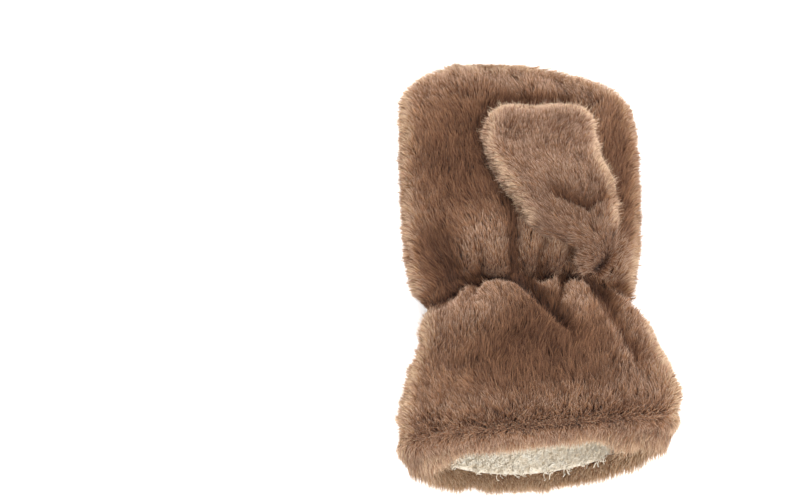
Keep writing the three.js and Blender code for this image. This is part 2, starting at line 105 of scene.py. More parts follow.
# Folds that the elastic gathers: from x at the wrist, up the hand and down the cuff
PALM_FOLDS = table(
    "x up lean down spread depth width",
    (-57, 36, -9, 20, -7, 10, 11),
    (-38, 20, 3, 26, -4, 7, 5),
    (-11, 86, -5, 50, 50, 12, 6),
    (6, 34, 1, 10, 0, 9, 3.5),
    (23, 38, 7, 34, -7, 8, 4),
    (42, 56, 13, 86, 54, 14, 6),
    (66, 20, 4, 16, 5, 6, 7),
)
BACK_FOLDS = table(
    "x up lean down spread depth width",
    (-54, 34, -8, 26, -8, 7, 8),
    (-25, 88, -16, 24, -5, 9, 8),
    (-4, 24, 0, 18, 0, 6, 5),
    (9, 70, 3, 22, 2, 9, 7),
    (25, 40, 6, 56, 14, 7, 6),
    (48, 30, 8, 30, 9, 7, 8),
)
# How far the wrist line rises towards the fingers between the two sides, and how far along that pulls
WRIST_BEND = {"palm": 16.0, "back": 6.0, "reach": 45.0}
# Where the palm side swells: beside the gathers, at the gusset below the thumb, and on the cuff's lobes
PUFFS = table(
    "x y half_width half_length rise",
    (-31, 16, 17, 20, 9),
    (-3, 20, 8, 17, 5),
    (16, 16, 9, 16, 7),
    (37, 14, 10, 14, 4),
    (60, 10, 12, 16, 9),
    (-38, -24, 22, 19, 9),
    (3, -15, 8, 9, 6),
    (25, -19, 12, 20, 8),
    (62, -29, 12, 24, 9),
)

# Broad patches of painted shade that darken the pile, or of painted light that makes it lighter where the
# shade is negative
PAINTED_LIGHT_AND_SHADE = table(
    "x y half_width half_length shade",
    (-40, 88, 38, 50, 0.60),
    (0, -45, 60, 26, 0.62),
    (0, 158, 120, 24, -0.30),
    (62, 70, 16, 60, 0.55),
    (86, -62, 22, 36, -0.50),
    (15, 22, 26, 20, -0.90),
    (10, 26, 3.5, 22, 0.80),
    (30, 24, 3.5, 20, 0.80),
    (-1, 18, 7, 16, -0.50),
    (21, 24, 7, 18, -0.50),
    (-60, 24, 18, 11, 0.50),
    (45, 34, 16, 14, -0.50),
    (0, -92, 110, 13, -0.40),
)

# The mouth of the cuff and its turned hem
MOUTH = {"start": -20.0, "over": 80.0, "under_lip": -20.5, "slant": 0.1}
HEM_SHORTER = {"palm": 0.32, "sides": 0.45, "under": 0.38}
UNDER_HEM_THINNER = 0.15
HEM_PROFILE = table(
    "y inset",
    (-85, 2.4),
    (-89, 0.8),
    (-94, 0.8),
    (-99.5, 2.8),
    (-103.3, 6.5),
    (-104, 10.5),
    (-101.5, 14.6),
    (-97, 17),
    (-93.5, 16.6),
)
HEM_MIDDLE = {"y": -95.0, "inset": 9.0}
# The hem's pile is rooted this share of the way in to the roll's middle
HEM_SUNK = 0.55
# Beyond these places the two lips' pile meets
HEM_CORNERS = {"x": -3.0, "start": 40.0, "over": 24.0}

# Places along the body at which its outline is read, closer together at the fingers
BODY_OUTLINE = np.concatenate([np.linspace(-108, 125, 90), TIP_Y - np.linspace(38**0.5, 0.6, 50) ** 2])

# Thumb: a pillow lying on the palm, which tapers down to the wrist as a gusset
THUMB_ROWS = table(
    "y left right top middle base",
    (11, 30, 47, 66, 56, 51),
    (20, 29, 51, 69, 57, 51),
    (29, 26, 54, 72, 58, 51),
    (36, 8, 55, 76, 60, 51),
    (47, -4, 55, 81, 63, 51),
    (58, -11, 54, 86, 65, 52),
    (72, -20, 51, 90, 68, 53),
    (88, -28.5, 43.5, 90, 68, 54),
    (100, -31, 42, 88, 68, 54),
    (123, -31, 41, 86, 67, 53),
)
THUMB_Y = (11.0, 123.0)
THUMB_ROUND = {"tip": 24.0, "rear": 18.0, "tip_sides": 17.0, "tip_cut": 15.0, "tail_cut": 5.0}
# The fold across the thumb's root, from its middle down to the kink and up to its right side
THUMB_CREASE = {
    "start": 8.0,
    "y": 60.0,
    "kink": 36.0,
    "falls": 0.4,
    "rises": 0.6,
    "depth": 5.0,
    "width": 4.0,
    "fades_over": 10.0,
}
# The nap runs up the thumb, and turns across its gusset towards the gathers
THUMB_TURN = {"below": 38.0, "over": 24.0, "most": 1.9}
# The most depth of pile under the thumb, where it is pressed on the palm
THUMB_PRESSED = 4.4
# The way from the hand into the thumb, and the collar of pelt round it
NECK = {"x": 33.0, "y": 60.0, "rx": 16.0, "ry": 16.0, "low": 45.0, "high": 60.0}
COLLAR = {"inner": 0.9, "outer": 2.6}

# Leather label on the back of the cuff
LABEL = {"x": -17.0, "y": -31.0, "width": 50.0, "height": 25.0, "slope": -0.12, "bow": 2.0, "depth": 4.6}
LABEL_THICK = 1.4
# In shares of the label's size
LABEL_CORNER = {"u": 0.47, "v": 0.44, "u_in": 0.012, "v_in": 0.022}
STITCHES = {"ends": 0.45, "count": 8, "rows": 0.41, "half_length": 0.042}
THREAD = {"radius": 0.42, "flatter": 0.7, "sides": 8, "steps": 7}

# Fleece at the mouth: a closed band between two depths, and the curls that are rooted in it
LINING_EDGE = {"start": -92.5, "end": -50.0, "outer": 15.2, "inner": 17.2}
CURLS = {"count": 7000, "root": 17.6, "tip": 19.8, "start": -91.0, "end": -44.0}
CURL_RIBBON = {"steps": 8, "half_width": 0.26}
CURL_SPILL = {"most": 8.0, "rows": 9.0, "tuft_length": 11.0}

# Strands of each stretch of pile
STRANDS = {
    "hand_fur_palm": 66000,
    "hand_fur_back": 27000,
    "thumb_fur": 46000,
    "cuff_fur_palm": 50000,
    "cuff_fur_back": 24000,
    "hem_fur": 55000,
}
CLUMP_SPACING = {"small": 1.8, "big": 8.0}
# The colour sockets of a node that mixes two values
MIX_A, MIX_B, MIX_RESULT = 6, 7, 2
# How far in from an outline the pile turns outwards and carries painted rim light on its pale tips
FRINGE = {"body": 7.5, "thumb": 6.0, "hem": 7.0, "strand": 4.0}
# The palm lies in shade beside the thumb, and less so to the right of a place
THUMB_SHADE = {"from_y": 40.0, "reach": 6.0, "right_of": 32.0, "left": 0.85, "right": 0.35}


def smooth(t):
    c = np.clip(t, 0.0, 1.0)
    return c * c * (3 - 2 * c)


def round_off(t):
    return np.where(t >= 1, 1.0, np.sqrt(np.maximum(0.0, 1 - (1 - t) ** 2)))


def column(rows, name, y):
    """A column of a table at y, by a cubic through its rows."""
    ys, values = rows["y"], rows[name]
    slopes = np.empty_like(values)
    slopes[1:-1] = (values[2:] - values[:-2]) / (ys[2:] - ys[:-2])
    slopes[0] = (values[1] - values[0]) / (ys[1] - ys[0])
    slopes[-1] = (values[-1] - values[-2]) / (ys[-1] - ys[-2])
    at = np.clip(y, ys[0], ys[-1])
    i = np.clip(np.searchsorted(ys, at, side="left") - 1, 0, len(ys) - 2)
    span = ys[i + 1] - ys[i]
    t = (at - ys[i]) / span
    return (
        values[i] * (2 * t**3 - 3 * t**2 + 1)
        + slopes[i] * span * (t**3 - 2 * t**2 + t)
        + values[i + 1] * (3 * t**2 - 2 * t**3)
        + slopes[i + 1] * span * (t**3 - t**2)
    )


def body_section(y, inset):
    """Sides, and height above and below the middle, of the body's section at y."""
    before_tip = TIP_Y - inset - y
    eased = 1 - inset / CUT_EASED_OVER
    drawn_left = TIP_LEFT["cut"] * eased * (1 - round_off(before_tip / (TIP_LEFT["reach"] - inset / 2)))
    drawn_right = TIP_RIGHT["cut"] * eased * (1 - round_off(before_tip / (TIP_RIGHT["reach"] - inset / 2)))
    full = round_off(before_tip / (TIP_HEIGHT_REACH - 0.8 * inset))
    left = column(BODY_ROWS, "left", y) + inset + drawn_left
    right = column(BODY_ROWS, "right", y) - inset - drawn_right
    above = (column(BODY_ROWS, "top", y) - inset - MIDDLE_HEIGHT) * full
    below = (MIDDLE_HEIGHT - column(BODY_ROWS, "base", y) - inset) * full
    return left, right, above, below


def groove_depth(x, y):
    """How deep the elastic draws the pile in at a place."""
    narrow = np.where(y > WRIST_Y, GROOVE["hand_width"], GROOVE["cuff_width"])
    width = narrow + GROOVE["wider"] * (x / GROOVE["sides"]) ** 4
    return GROOVE["depth"] * np.exp(-(((y - WRIST_Y) / width) ** 2))


def carved_depth(x, y, folds):
    """How deep the gathers and the wrist groove cut in at a place."""
    t = y - WRIST_Y
    depth = groove_depth(x, y)
    for i in range(len(folds["x"])):
        fold = {name: folds[name][i] for name in folds}
        along = np.where(t > 0, t / fold["up"], -t / fold["down"])
        middle = fold["x"] + along * np.where(t > 0, fold["lean"], fold["spread"])
        wave = np.exp(-(((x - middle) / fold["width"]) ** 2))
        depth = depth + np.where(along < 1, fold["depth"] * (1 - along**2) ** 2 * wave, 0)
    return depth


def puffed(x, y):
    rise = 0.0
    for i in range(len(PUFFS["x"])):
        across = (x - PUFFS["x"][i]) / PUFFS["half_width"][i]
        along = (y - PUFFS["y"][i]) / PUFFS["half_length"][i]
        rise = rise + PUFFS["rise"][i] * np.exp(-(across**2) - along**2)
    return rise


def body_point(angle, y, inset, carved=0.0):
    """A point of the body's surface. Where carved is a depth, folds are followed down to it."""
    angle, y, inset = np.broadcast_arrays(angle, y, np.asarray(inset, dtype=float))
    c, s = np.cos(angle), np.sin(angle)
    left, right, _, _ = body_section(y, 0.0)
    x = (left + right) / 2 + c * (right - left) / 2
    depth, swell = inset, 0.0
    if carved:
        folds = np.where(s >= 0, carved_depth(x, y, PALM_FOLDS), carved_depth(x, y, BACK_FOLDS))
        depth = np.minimum(inset + folds, carved)
    left, right, above, below = body_section(y, depth)
    x = (left + right) / 2 + c * (right - left) / 2
    if carved:
        swell = np.where(s > 0, puffed(x, y) * s * (1 - np.minimum(1, folds / MOST_CARVED)), 0)
    z = MIDDLE_HEIGHT + np.where(s >= 0, above, -below) * np.abs(s) ** SECTION_BOXINESS + swell
    out = smooth((MOUTH["start"] - y) / MOUTH["over"])
    lip = np.where(s < 0, MOUTH["under_lip"] * np.abs(s) ** 1.5, 0)
    bend = np.where(s < 0, WRIST_BEND["back"], WRIST_BEND["palm"]) * (1 - c**4)
    pulled = np.exp(-(((y - WRIST_Y) / WRIST_BEND["reach"]) ** 2))
    dy = out * (lip + MOUTH["slant"] * x) + bend * pulled
    return np.stack([x, y + dy, np.maximum(z, FLOOR_PRESS * np.maximum(depth, 0))], axis=-1)


def hem_point(angle, k, sunk):
    """A point of the turned hem, k along its profile. Sunk is the share of the way to the roll's middle."""
    rows = {"y": np.arange(len(HEM_PROFILE["y"])), "along": HEM_PROFILE["y"], "inset": HEM_PROFILE["inset"]}
    along, inset = column(rows, "along", k), column(rows, "inset", k)
    along = along + (HEM_MIDDLE["y"] - along) * sunk
    inset = inset + (HEM_MIDDLE["inset"] - inset) * sunk
    under = np.maximum(0, -np.sin(angle))
    crease = HEM_PROFILE["y"][0]
    palm = np.maximum(0, np.sin(angle))
    sides = HEM_SHORTER["sides"] * (1 - under - palm)
    shorter = HEM_SHORTER["under"] * under + HEM_SHORTER["palm"] * palm + sides
    along = crease + (along - crease) * (1 - shorter)
    return body_point(angle, along, inset * (1 - UNDER_HEM_THINNER * under))


def thumb_crease(x, y):
    """How deep the fold across the thumb's root is at a place."""
    fold = THUMB_CREASE
    past = x - fold["kink"]
    slope = np.where(past < 0, -fold["falls"], fold["rises"])
    line = fold["y"] - fold["falls"] * (fold["kink"] - fold["start"]) + slope * past
    depth = fold["depth"] * np.exp(-(((y - line) / fold["width"]) ** 2))
    return depth * smooth((x - fold["start"]) / fold["fades_over"])


def thumb_point(angle, y, inset):
    angle, y, inset = np.broadcast_arrays(angle, y, np.asarray(inset, dtype=float))
    c, s = np.cos(angle), np.sin(angle)
    tip = round_off((THUMB_Y[1] - inset - y) / (THUMB_ROUND["tip"] - inset / 2))
    rear = round_off((y - THUMB_Y[0] - inset) / (THUMB_ROUND["rear"] - inset / 3))
    tip_sides = round_off((THUMB_Y[1] - inset - y) / (THUMB_ROUND["tip_sides"] - inset / 2))
    drawn = THUMB_ROUND["tip_cut"] * (1 - tip_sides) * (1 - inset / 30)
    drawn = drawn + THUMB_ROUND["tail_cut"] * (1 - rear)
    left = column(THUMB_ROWS, "left", y) + inset + drawn
    right = column(THUMB_ROWS, "right", y) - inset - drawn
    middle = column(THUMB_ROWS, "middle", y)
    under = np.minimum(inset, THUMB_PRESSED)
    above = (column(THUMB_ROWS, "top", y) - inset - middle) * tip * rear
    below = (middle - column(THUMB_ROWS, "base", y) - (inset - under)) * tip * rear
    rise = np.abs(s) ** SECTION_BOXINESS
    x = (left + right) / 2 + c * (right - left) / 2
    crease = np.where(s > 0, thumb_crease(x, y) * s, 0)
    return np.stack([x, y, middle + np.where(s >= 0, above - crease, -below) * rise], axis=-1)


def neck_ring(angle, z, margin):
    """A ring round the way into the thumb at a height, widened by a margin."""
    x = NECK["x"] + (NECK["rx"] + margin) * np.cos(angle)
    y = NECK["y"] + (NECK["ry"] + margin) * np.sin(angle)
    return np.stack([x, y, np.full_like(x, z)], axis=-1)


def even_angles(count):
    """Angles that split a flattened section into about equal stretches, from +X round over the palm."""
    a = np.linspace(0, 2 * math.pi, 4001)
    x, z = 80 * np.cos(a), 30 * np.sign(np.sin(a)) * np.abs(np.sin(a)) ** SECTION_BOXINESS
    run = np.concatenate([[0], np.cumsum(np.hypot(np.diff(x), np.diff(z)))])
    return np.interp(np.linspace(0, run[-1], count + 1), run, a)


def backing_angles():
    return even_angles(110)[:-1]


def to_tip(start, end, straight, count):
    """Places from start to end, closer together past the straight stretch."""
    bend = 0.55
    share = np.linspace(0, 1, count)
    rest = np.sin((share - bend) / (1 - bend) * math.pi / 2)
    run = np.where(share < bend, share / bend * straight, straight + (1 - straight) * rest)
    return start + (end - start) * run


def to_both_ends(short, count):
    """Shares of a length, closer together towards both ends, which they miss by the angle short."""
    return 0.5 - 0.5 * np.cos(np.linspace(short, math.pi - short, count))


def metres(points):
    return (points - CENTRE) * 0.001


def mesh_object(name, points, corners, starts, uv=None):
    """A mesh object from points in millimetres, corner indices and each face's first corner."""
    mesh = bpy.data.meshes.new(name)
    mesh.vertices.add(len(points))
    mesh.vertices.foreach_set("co", metres(points).astype(np.float32).ravel())
    mesh.loops.add(len(corners))
    mesh.loops.foreach_set("vertex_index", corners.astype(np.int32))
    mesh.polygons.add(len(starts))
    mesh.polygons.foreach_set("loop_start", starts.astype(np.int32))
    mesh.update(calc_edges=True)
    if uv is not None:
        layer = mesh.uv_layers.new(name="OFBake")
        layer.data.foreach_set("uv", uv.astype(np.float32).ravel())
    obj = bpy.data.objects.new(name, mesh)
    bpy.context.scene.collection.objects.link(obj)
    return obj


def grid_faces(rows, columns, closed_rows=False):
    """Quads between the rings of a grid, each ring closed on itself."""
    r = np.arange(rows if closed_rows else rows - 1)
    i = np.arange(columns)
    r, i = np.meshgrid(r, i, indexing="ij")
    j = (i + 1) % columns
    low, high = r * columns, (r + 1) % rows * columns
    return np.stack([low + i, low + j, high + j, high + i], -1).reshape(-1, 4)


def ring_solid(name, rings, closed_rows=False):
    """A closed surface through rings of points, with its two end rings joined across their middles."""
    rows, columns, _ = rings.shape
    faces = grid_faces(rows, columns, closed_rows)
    points = rings.reshape(-1, 3)
    corners, starts = faces.ravel(), np.arange(len(faces)) * 4
    if not closed_rows:
        i = np.arange(columns)
        j = (i + 1) % columns
        hubs = len(points) + np.arange(2)
        points = np.concatenate([points, rings[0].mean(0)[None], rings[-1].mean(0)[None]])
        low = np.stack([j, i, np.full(columns, hubs[0])], -1)
        base = (rows - 1) * columns
        high = np.stack([base + i, base + j, np.full(columns, hubs[1])], -1)
        starts = np.concatenate([starts, len(corners) + np.arange(2 * columns) * 3])
        corners = np.concatenate([corners, low.ravel(), high.ravel()])
    obj = mesh_object(name, points, corners, starts)
    edit(obj, lambda: bpy.ops.mesh.normals_make_consistent(inside=False))
    bpy.ops.object.shade_smooth()
    return obj


def select_only(obj):
    bpy.ops.object.select_all(action="DESELECT")
    obj.select_set(True)
    bpy.context.view_layer.objects.active = obj


def edit(obj, work):
    """Runs work on the object's whole mesh in edit mode."""
    select_only(obj)
    bpy.ops.object.mode_set(mode="EDIT")
    bpy.ops.mesh.select_all(action="SELECT")
    work()
    bpy.ops.object.mode_set(mode="OBJECT")


def apply_modifiers(obj):
    select_only(obj)
    for modifier in list(obj.modifiers):
        bpy.ops.object.modifier_apply(modifier=modifier.name)


def waves(points, seed, length, count=7):
    """A smooth random field over points, about -1 to 1, with the given wavelength in millimetres."""
    rng = np.random.RandomState(seed)
    total = np.zeros(points.shape[:-1])
    for _ in range(count):
        way = rng.normal(size=3)
        way *= (2 * math.pi / length) * rng.uniform(0.6, 1.5) / np.linalg.norm(way)
        total += np.sin(points @ way + rng.uniform(0, 2 * math.pi))
    return total / math.sqrt(count)


def unit(v):
    return v / np.maximum(np.linalg.norm(v, axis=-1, keepdims=True), 1e-9)


class Coat:
    """A stretch of fur: grids of the pile's tips and roots, with the nap running along the rows."""

    def __init__(self, point, angles, places, root_depth, tip_depth=0.0, shade=None, lie=None):
        self.tips = point(angles[None, :], places[:, None], tip_depth, True)
        self.roots = point(angles[None, :], places[:, None], root_depth, False)
        across = np.gradient(self.tips, axis=1)
        along = np.gradient(self.tips, axis=0)
        normal = unit(np.cross(across, along))
        middle = self.tips.mean((0, 1))
        outward = np.sum(normal * (self.tips - self.roots), -1).mean()
        self.normal = normal if outward > 0 else -normal
        self.nap = unit(along)
        size = self.tips.shape[:2]
        # Share of painted shade in folds, and of painted rim light with pale tips along outlines
        self.shade = np.zeros(size) if shade is None else shade
        self.edge = np.zeros(size)
        # Extra height of the pile, and share of its length
        self.full = np.zeros(size)
        self.reach = np.ones(size)
        # For each row the share of the full lay: 0 where the pile stands upright
        self.lie = np.ones(len(places)) if lie is None else lie
        self.side = unit(np.cross(self.normal, self.nap))
        edge_a = self.tips[1:, :-1] - self.tips[:-1, :-1]
        edge_b = self.tips[:-1, 1:] - self.tips[:-1, :-1]
        self.area = np.linalg.norm(np.cross(edge_a, edge_b), axis=-1)
        # Distance along and across the coat, for the clumps
        length = np.linalg.norm(np.diff(self.tips, axis=0), axis=-1)
        width = np.linalg.norm(np.diff(self.tips, axis=1), axis=-1)
        self.run = np.concatenate([[0], np.cumsum(length.mean(1))])
        self.turn = np.concatenate([[0], np.cumsum(width.mean(0))])

    def pick(self, count, weight, rng):
        """Even random places on the coat: row and column as fractions."""
        chance = (self.area * weight(self)).ravel()
        cells = rng.choice(chance.size, size=count, p=chance / chance.sum())
        row, col = np.divmod(cells, self.area.shape[1])
        return row + rng.random_sample(count), col + rng.random_sample(count)

    def read(self, grid, row, col):
        """The grid's values at fractional rows and columns."""
        r, c = row.astype(int), col.astype(int)
        a, b = (row - r)[:, None], (col - c)[:, None]
        low = grid[r, c] * (1 - b) + grid[r, c + 1] * b
        high = grid[r + 1, c] * (1 - b) + grid[r + 1, c + 1] * b
        return low * (1 - a) + high * a

    def read_share(self, grid, row, col):
        """As read, for a grid of single numbers."""
        return self.read(grid[..., None], row, col)[:, 0]


def cell_middles(coat):
    t = coat.tips
    return (t[1:, 1:] + t[:-1, 1:] + t[1:, :-1] + t[:-1, :-1]) / 4


def clumps(run, turn, spacing, rng):
    """Nearest clump of each strand: the way to it along and across, and its own random number."""
    size = 256
    jitter = rng.random_sample((size, size, 3))
    ri, ti = np.floor(run / spacing).astype(int), np.floor(turn / spacing).astype(int)
    best = np.full(run.shape, 1e9)
    to_run, to_turn, tone = np.zeros_like(run), np.zeros_like(run), np.zeros_like(run)
    for dr in (-1, 0, 1):
        for dt in (-1, 0, 1):
            cell = jitter[(ri + dr) % size, (ti + dt) % size]
            away_run = (ri + dr + cell[:, 0]) * spacing - run
            away_turn = (ti + dt + cell[:, 1]) * spacing - turn
            # A clump reaches further along the nap than across it
            distance = (0.55 * away_run) ** 2 + away_turn**2
            nearer = distance < best
            best = np.where(nearer, distance, best)
            to_run, to_turn = np.where(nearer, away_run, to_run), np.where(nearer, away_turn, to_turn)
            tone = np.where(nearer, cell[:, 2], tone)
    return to_run, to_turn, tone


def grow(
    name, coat, seed, density, lay, width, pull, weight=None, keep=None, ruffle=1.0, stray=0.05, painted_light_shift=0.0
):
    """A piece of fur: ribbons of two bends each, rooted in the pelt and drawn into clumps."""
    rng = np.random.RandomState(seed)
    row, col = coat.pick(int(STRANDS[name] * density), weight or (lambda c: 1.0), rng)
    root = coat.read(coat.roots, row, col)
    over = coat.read(coat.tips, row, col)
    if keep is not None:
        kept = keep(over)
        row, col, root, over = row[kept], col[kept], root[kept], over[kept]
    n = len(row)
    normal = unit(coat.read(coat.normal, row, col))
    nap = unit(coat.read(coat.nap, row, col))
    side = unit(np.cross(normal, nap))
    shade, edge, full, reach = (
        coat.read_share(grid, row, col) for grid in (coat.shade, coat.edge, coat.full, coat.reach)
    )
    lie = np.interp(row, np.arange(len(coat.lie)), coat.lie)
    run = np.interp(row, np.arange(len(coat.run)), coat.run)
    turn = np.interp(col, np.arange(len(coat.turn)), coat.turn)
    small_run, small_turn, small_tone = clumps(run, turn, CLUMP_SPACING["small"], rng)
    big_run, big_turn, big_tone = clumps(run, turn, CLUMP_SPACING["big"], rng)

    # The way that each strand turns off the nap, in radians
    swirl = 0.26 * waves(over, seed + 1, 46) + 0.13 * waves(over, seed + 2, 15)
    swirl = ruffle * (swirl + 0.20 * rng.normal(size=n))
    swirl = swirl + 0.30 * ruffle * (big_tone - 0.5) + 1.1 * (1 - lie) * rng.normal(size=n)
    way = nap * np.cos(swirl)[:, None] + side * np.sin(swirl)[:, None]
    length = 0.78 + 0.16 * waves(over, seed + 3, 24) + 0.22 * (small_tone - 0.5)
    length = lay * (length + 0.16 * rng.random_sample(n))
    height = 0.80 + 0.20 * rng.random_sample(n) + 0.10 * waves(over, seed + 4, 12)
    height = height - 0.40 * (big_tone - 0.5) ** 2
    height = height + full * (0.4 + 0.6 * rng.random_sample(n))
    length = length * (0.25 + 0.75 * lie) * reach
    # A few loose hairs stand out of the pile
    loose = rng.random_sample(n) < stray
    length = np.where(loose, 1.35 * length, length)
    height = np.where(loose, height + 0.55 * rng.random_sample(n), height)
    rise = over - root
    rise = rise + normal * np.maximum(0, LEAST_PILE - np.linalg.norm(rise, axis=1))[:, None]
    to_clump = 0.62 * (nap * small_run[:, None] + side * small_turn[:, None])
    to_clump = pull * (to_clump + 0.18 * (nap * big_run[:, None] + side * big_turn[:, None]))
    tip = root + rise * height[:, None] + way * length[:, None] + to_clump
    middle = root + rise * (0.74 * height)[:, None] + way * (0.36 * length)[:, None] + 0.35 * to_clump

    roll = rng.normal(size=n) * 0.7
    half = (width * (0.75 + 0.5 * rng.random_sample(n)) / 2)[:, None]
    across = unit(np.cross(normal, tip - root))
    upward = unit(np.cross(tip - root, across))
    flat = half * (across * np.cos(roll)[:, None] + upward * np.sin(roll)[:, None])
    points = np.stack([root - flat, root + flat, middle - flat, middle + flat, tip], 1)
    floor = 0.25 + 0.5 * rng.random_sample(n)
    points[..., 2] = np.maximum(points[..., 2], floor[:, None] + np.array([0.0, 0.0, 0.1, 0.1, 0.0]))

    tone = 0.5 + 0.08 * waves(over, seed + 5, 60) + 0.05 * waves(over, seed + 6, 18)
    tone = tone + 0.22 * (small_tone - 0.5) + 0.08 * (big_tone - 0.5) + 0.24 * rng.normal(size=n)
    # Painted shade darkens the pile down in the folds; painted rim light makes it lighter along the
    # outline, where the pile is seen from its side
    tone = np.clip(np.minimum(tone - 0.30 * shade + painted_light_shift, 0.80) + 0.42 * edge, 0.02, 0.96)
    first = np.arange(n)[:, None]
    corners = (first * 5 + np.array([0, 1, 3, 2, 2, 3, 4])).ravel()
    starts = (first * 7 + np.array([0, 4])).ravel()
    return mesh_object(name, points.reshape(-1, 3), corners, starts, strand_uv(tone, shade, edge))


def strand_uv(tone, shade, edge):
    """Each strand's tone across its map, and the way from root to tip along it."""
    u0, u1 = tone, tone + 0.016
    u = np.stack([u0, u1, u1, u0, u0, u1, (u0 + u1) / 2], 1)
    # Painted shade: in folds a strand takes more of its dark root colour
    v = np.array([0.02, 0.02, 0.52, 0.52, 0.52, 0.52, 0.98]) * (1 - 0.50 * np.clip(shade, 0, 1)[:, None])
    # Painted rim light: near outlines a strand takes more of its pale tip colour
    v = v + (0.98 - v) * 0.45 * edge[:, None]
    return np.stack([u, v], -1).reshape(-1, 2)


def node_material(name, roughness, specular=0.3, sheen=0.0):
    """A material with a Principled shader; gives it, its node tree's makers and the shader."""
    mat = bpy.data.materials.new(name)
    mat.use_nodes = True
    nodes, links = mat.node_tree.nodes, mat.node_tree.links
    shader = nodes["Principled BSDF"]
    shader.inputs["Roughness"].default_value = roughness
    shader.inputs["Specular IOR Level"].default_value = specular
    shader.inputs["Sheen Weight"].default_value = sheen
    return mat, nodes, links, shader


def ramp(nodes, stops):
    """A colour ramp through stops of position and colour."""
    node = nodes.new("ShaderNodeValToRGB")
    elements = node.color_ramp.elements
    while len(elements) < len(stops):
        elements.new(0.5)
    for element, (position, color) in zip(elements, stops):
        element.position = position
        element.color = (*color, 1)
    return node


def multiply(nodes):
    """A node that multiplies two colours."""
    node = nodes.new("ShaderNodeMix")
    node.data_type = "RGBA"
    node.blend_type = "MULTIPLY"
    node.inputs["Factor"].default_value = 1.0
    return node


def fur_material(tint):
    """Pile: dark at the root and pale at the tip, with each strand's own tone."""
    mat, nodes, links, shader = node_material("FurPile", 0.62, 0.22, 0.08)
    where = nodes.new("ShaderNodeUVMap")
    where.uv_map = "OFBake"
    split = nodes.new("ShaderNodeSeparateXYZ")
    links.new(where.outputs["UV"], split.inputs["Vector"])
    along = ramp(
        nodes,
        [
            (0.0, (0.038, 0.017, 0.009)),
            (0.35, (0.126, 0.054, 0.027)),
            (0.70, (0.245, 0.118, 0.061)),
            (1.0, (0.58, 0.405, 0.300)),
        ],
    )
    # Its palest tones are reached by the painted rim light along outlines, and by single pale strands
    tone = ramp(
        nodes,
        [
            (0.0, (0.46, 0.40, 0.36)),
            (0.45, (0.93, 0.91, 0.90)),
            (0.75, (1.38, 1.40, 1.40)),
            (1.0, (1.68, 1.95, 1.85)),
        ],
    )
    links.new(split.outputs["Y"], along.inputs["Fac"])
    links.new(split.outputs["X"], tone.inputs["Fac"])
    mixed, tinted = multiply(nodes), multiply(nodes)
    links.new(along.outputs["Color"], mixed.inputs[MIX_A])
    links.new(tone.outputs["Color"], mixed.inputs[MIX_B])
    tinted.inputs[MIX_B].default_value = (*tint, 1)
    links.new(mixed.outputs[MIX_RESULT], tinted.inputs[MIX_A])
    links.new(tinted.outputs[MIX_RESULT], shader.inputs["Base Color"])
    return mat


def backing_material():
    """Knitted backing that the pile grows from, nearly hidden by it."""
    mat, nodes, links, shader = node_material("FurBacking", 0.9, 0.1)
    where = nodes.new("ShaderNodeTexCoord")
    noise = nodes.new("ShaderNodeTexNoise")
    noise.inputs["Scale"].default_value = 260.0
    noise.inputs["Detail"].default_value = 4.0
    colors = ramp(nodes, [(0.3, (0.045, 0.024, 0.016)), (0.75, (0.11, 0.062, 0.042))])
    links.new(where.outputs["Object"], noise.inputs["Vector"])
    links.new(noise.outputs["Fac"], colors.inputs["Fac"])
    links.new(colors.outputs["Color"], shader.inputs["Base Color"])
    return mat


def sherpa_material():
    """Cream fleece: shaded between its curls, with a soft uneven cream."""
    mat, nodes, links, shader = node_material("SherpaFleece", 0.92, 0.15, 0.25)
    where = nodes.new("ShaderNodeTexCoord")
    noise = nodes.new("ShaderNodeTexNoise")
    noise.inputs["Scale"].default_value = 340.0
    noise.inputs["Detail"].default_value = 5.0
    colors = ramp(
        nodes,
        [
            (0.30, (0.74, 0.63, 0.47)),
            (0.52, (0.88, 0.80, 0.66)),
            (0.75, (0.95, 0.91, 0.81)),
        ],
    )
    curls = nodes.new("ShaderNodeTexVoronoi")
    curls.inputs["Scale"].default_value = 520.0
    bump = nodes.new("ShaderNodeBump")
    bump.inputs["Strength"].default_value = 0.6
    bump.inputs["Distance"].default_value = 0.0009
    for texture in (noise, curls):
        links.new(where.outputs["Object"], texture.inputs["Vector"])
    links.new(noise.outputs["Fac"], colors.inputs["Fac"])
    links.new(colors.outputs["Color"], shader.inputs["Base Color"])
    links.new(curls.outputs["Distance"], bump.inputs["Height"])
    links.new(bump.outputs["Normal"], shader.inputs["Normal"])
    return mat


def leather_material(color):
    """Matt leather with a fine pebbled grain."""
    mat, nodes, links, shader = node_material("LabelLeather", 0.55, 0.4)
    where = nodes.new("ShaderNodeTexCoord")
    grain = nodes.new("ShaderNodeTexVoronoi")
    grain.inputs["Scale"].default_value = 1500.0
    noise = nodes.new("ShaderNodeTexNoise")
    noise.inputs["Scale"].default_value = 130.0
    noise.inputs["Detail"].default_value = 3.0
    dark = tuple(0.78 * c for c in color)
    light = tuple(1.25 * c for c in color)
    colors = ramp(nodes, [(0.3, dark), (0.5, color), (0.75, light)])
    bump = nodes.new("ShaderNodeBump")
    bump.inputs["Strength"].default_value = 0.35
    bump.inputs["Distance"].default_value = 0.00025
    for texture in (grain, noise):
        links.new(where.outputs["Object"], texture.inputs["Vector"])
    links.new(noise.outputs["Fac"], colors.inputs["Fac"])
    links.new(colors.outputs["Color"], shader.inputs["Base Color"])
    links.new(grain.outputs["Distance"], bump.inputs["Height"])
    links.new(bump.outputs["Normal"], shader.inputs["Normal"])
    return mat


def plain_material(name, color, roughness):
    mat, _, _, shader = node_material(name, roughness, 0.2)
    shader.inputs["Base Color"].default_value = (*color, 1)
    return mat


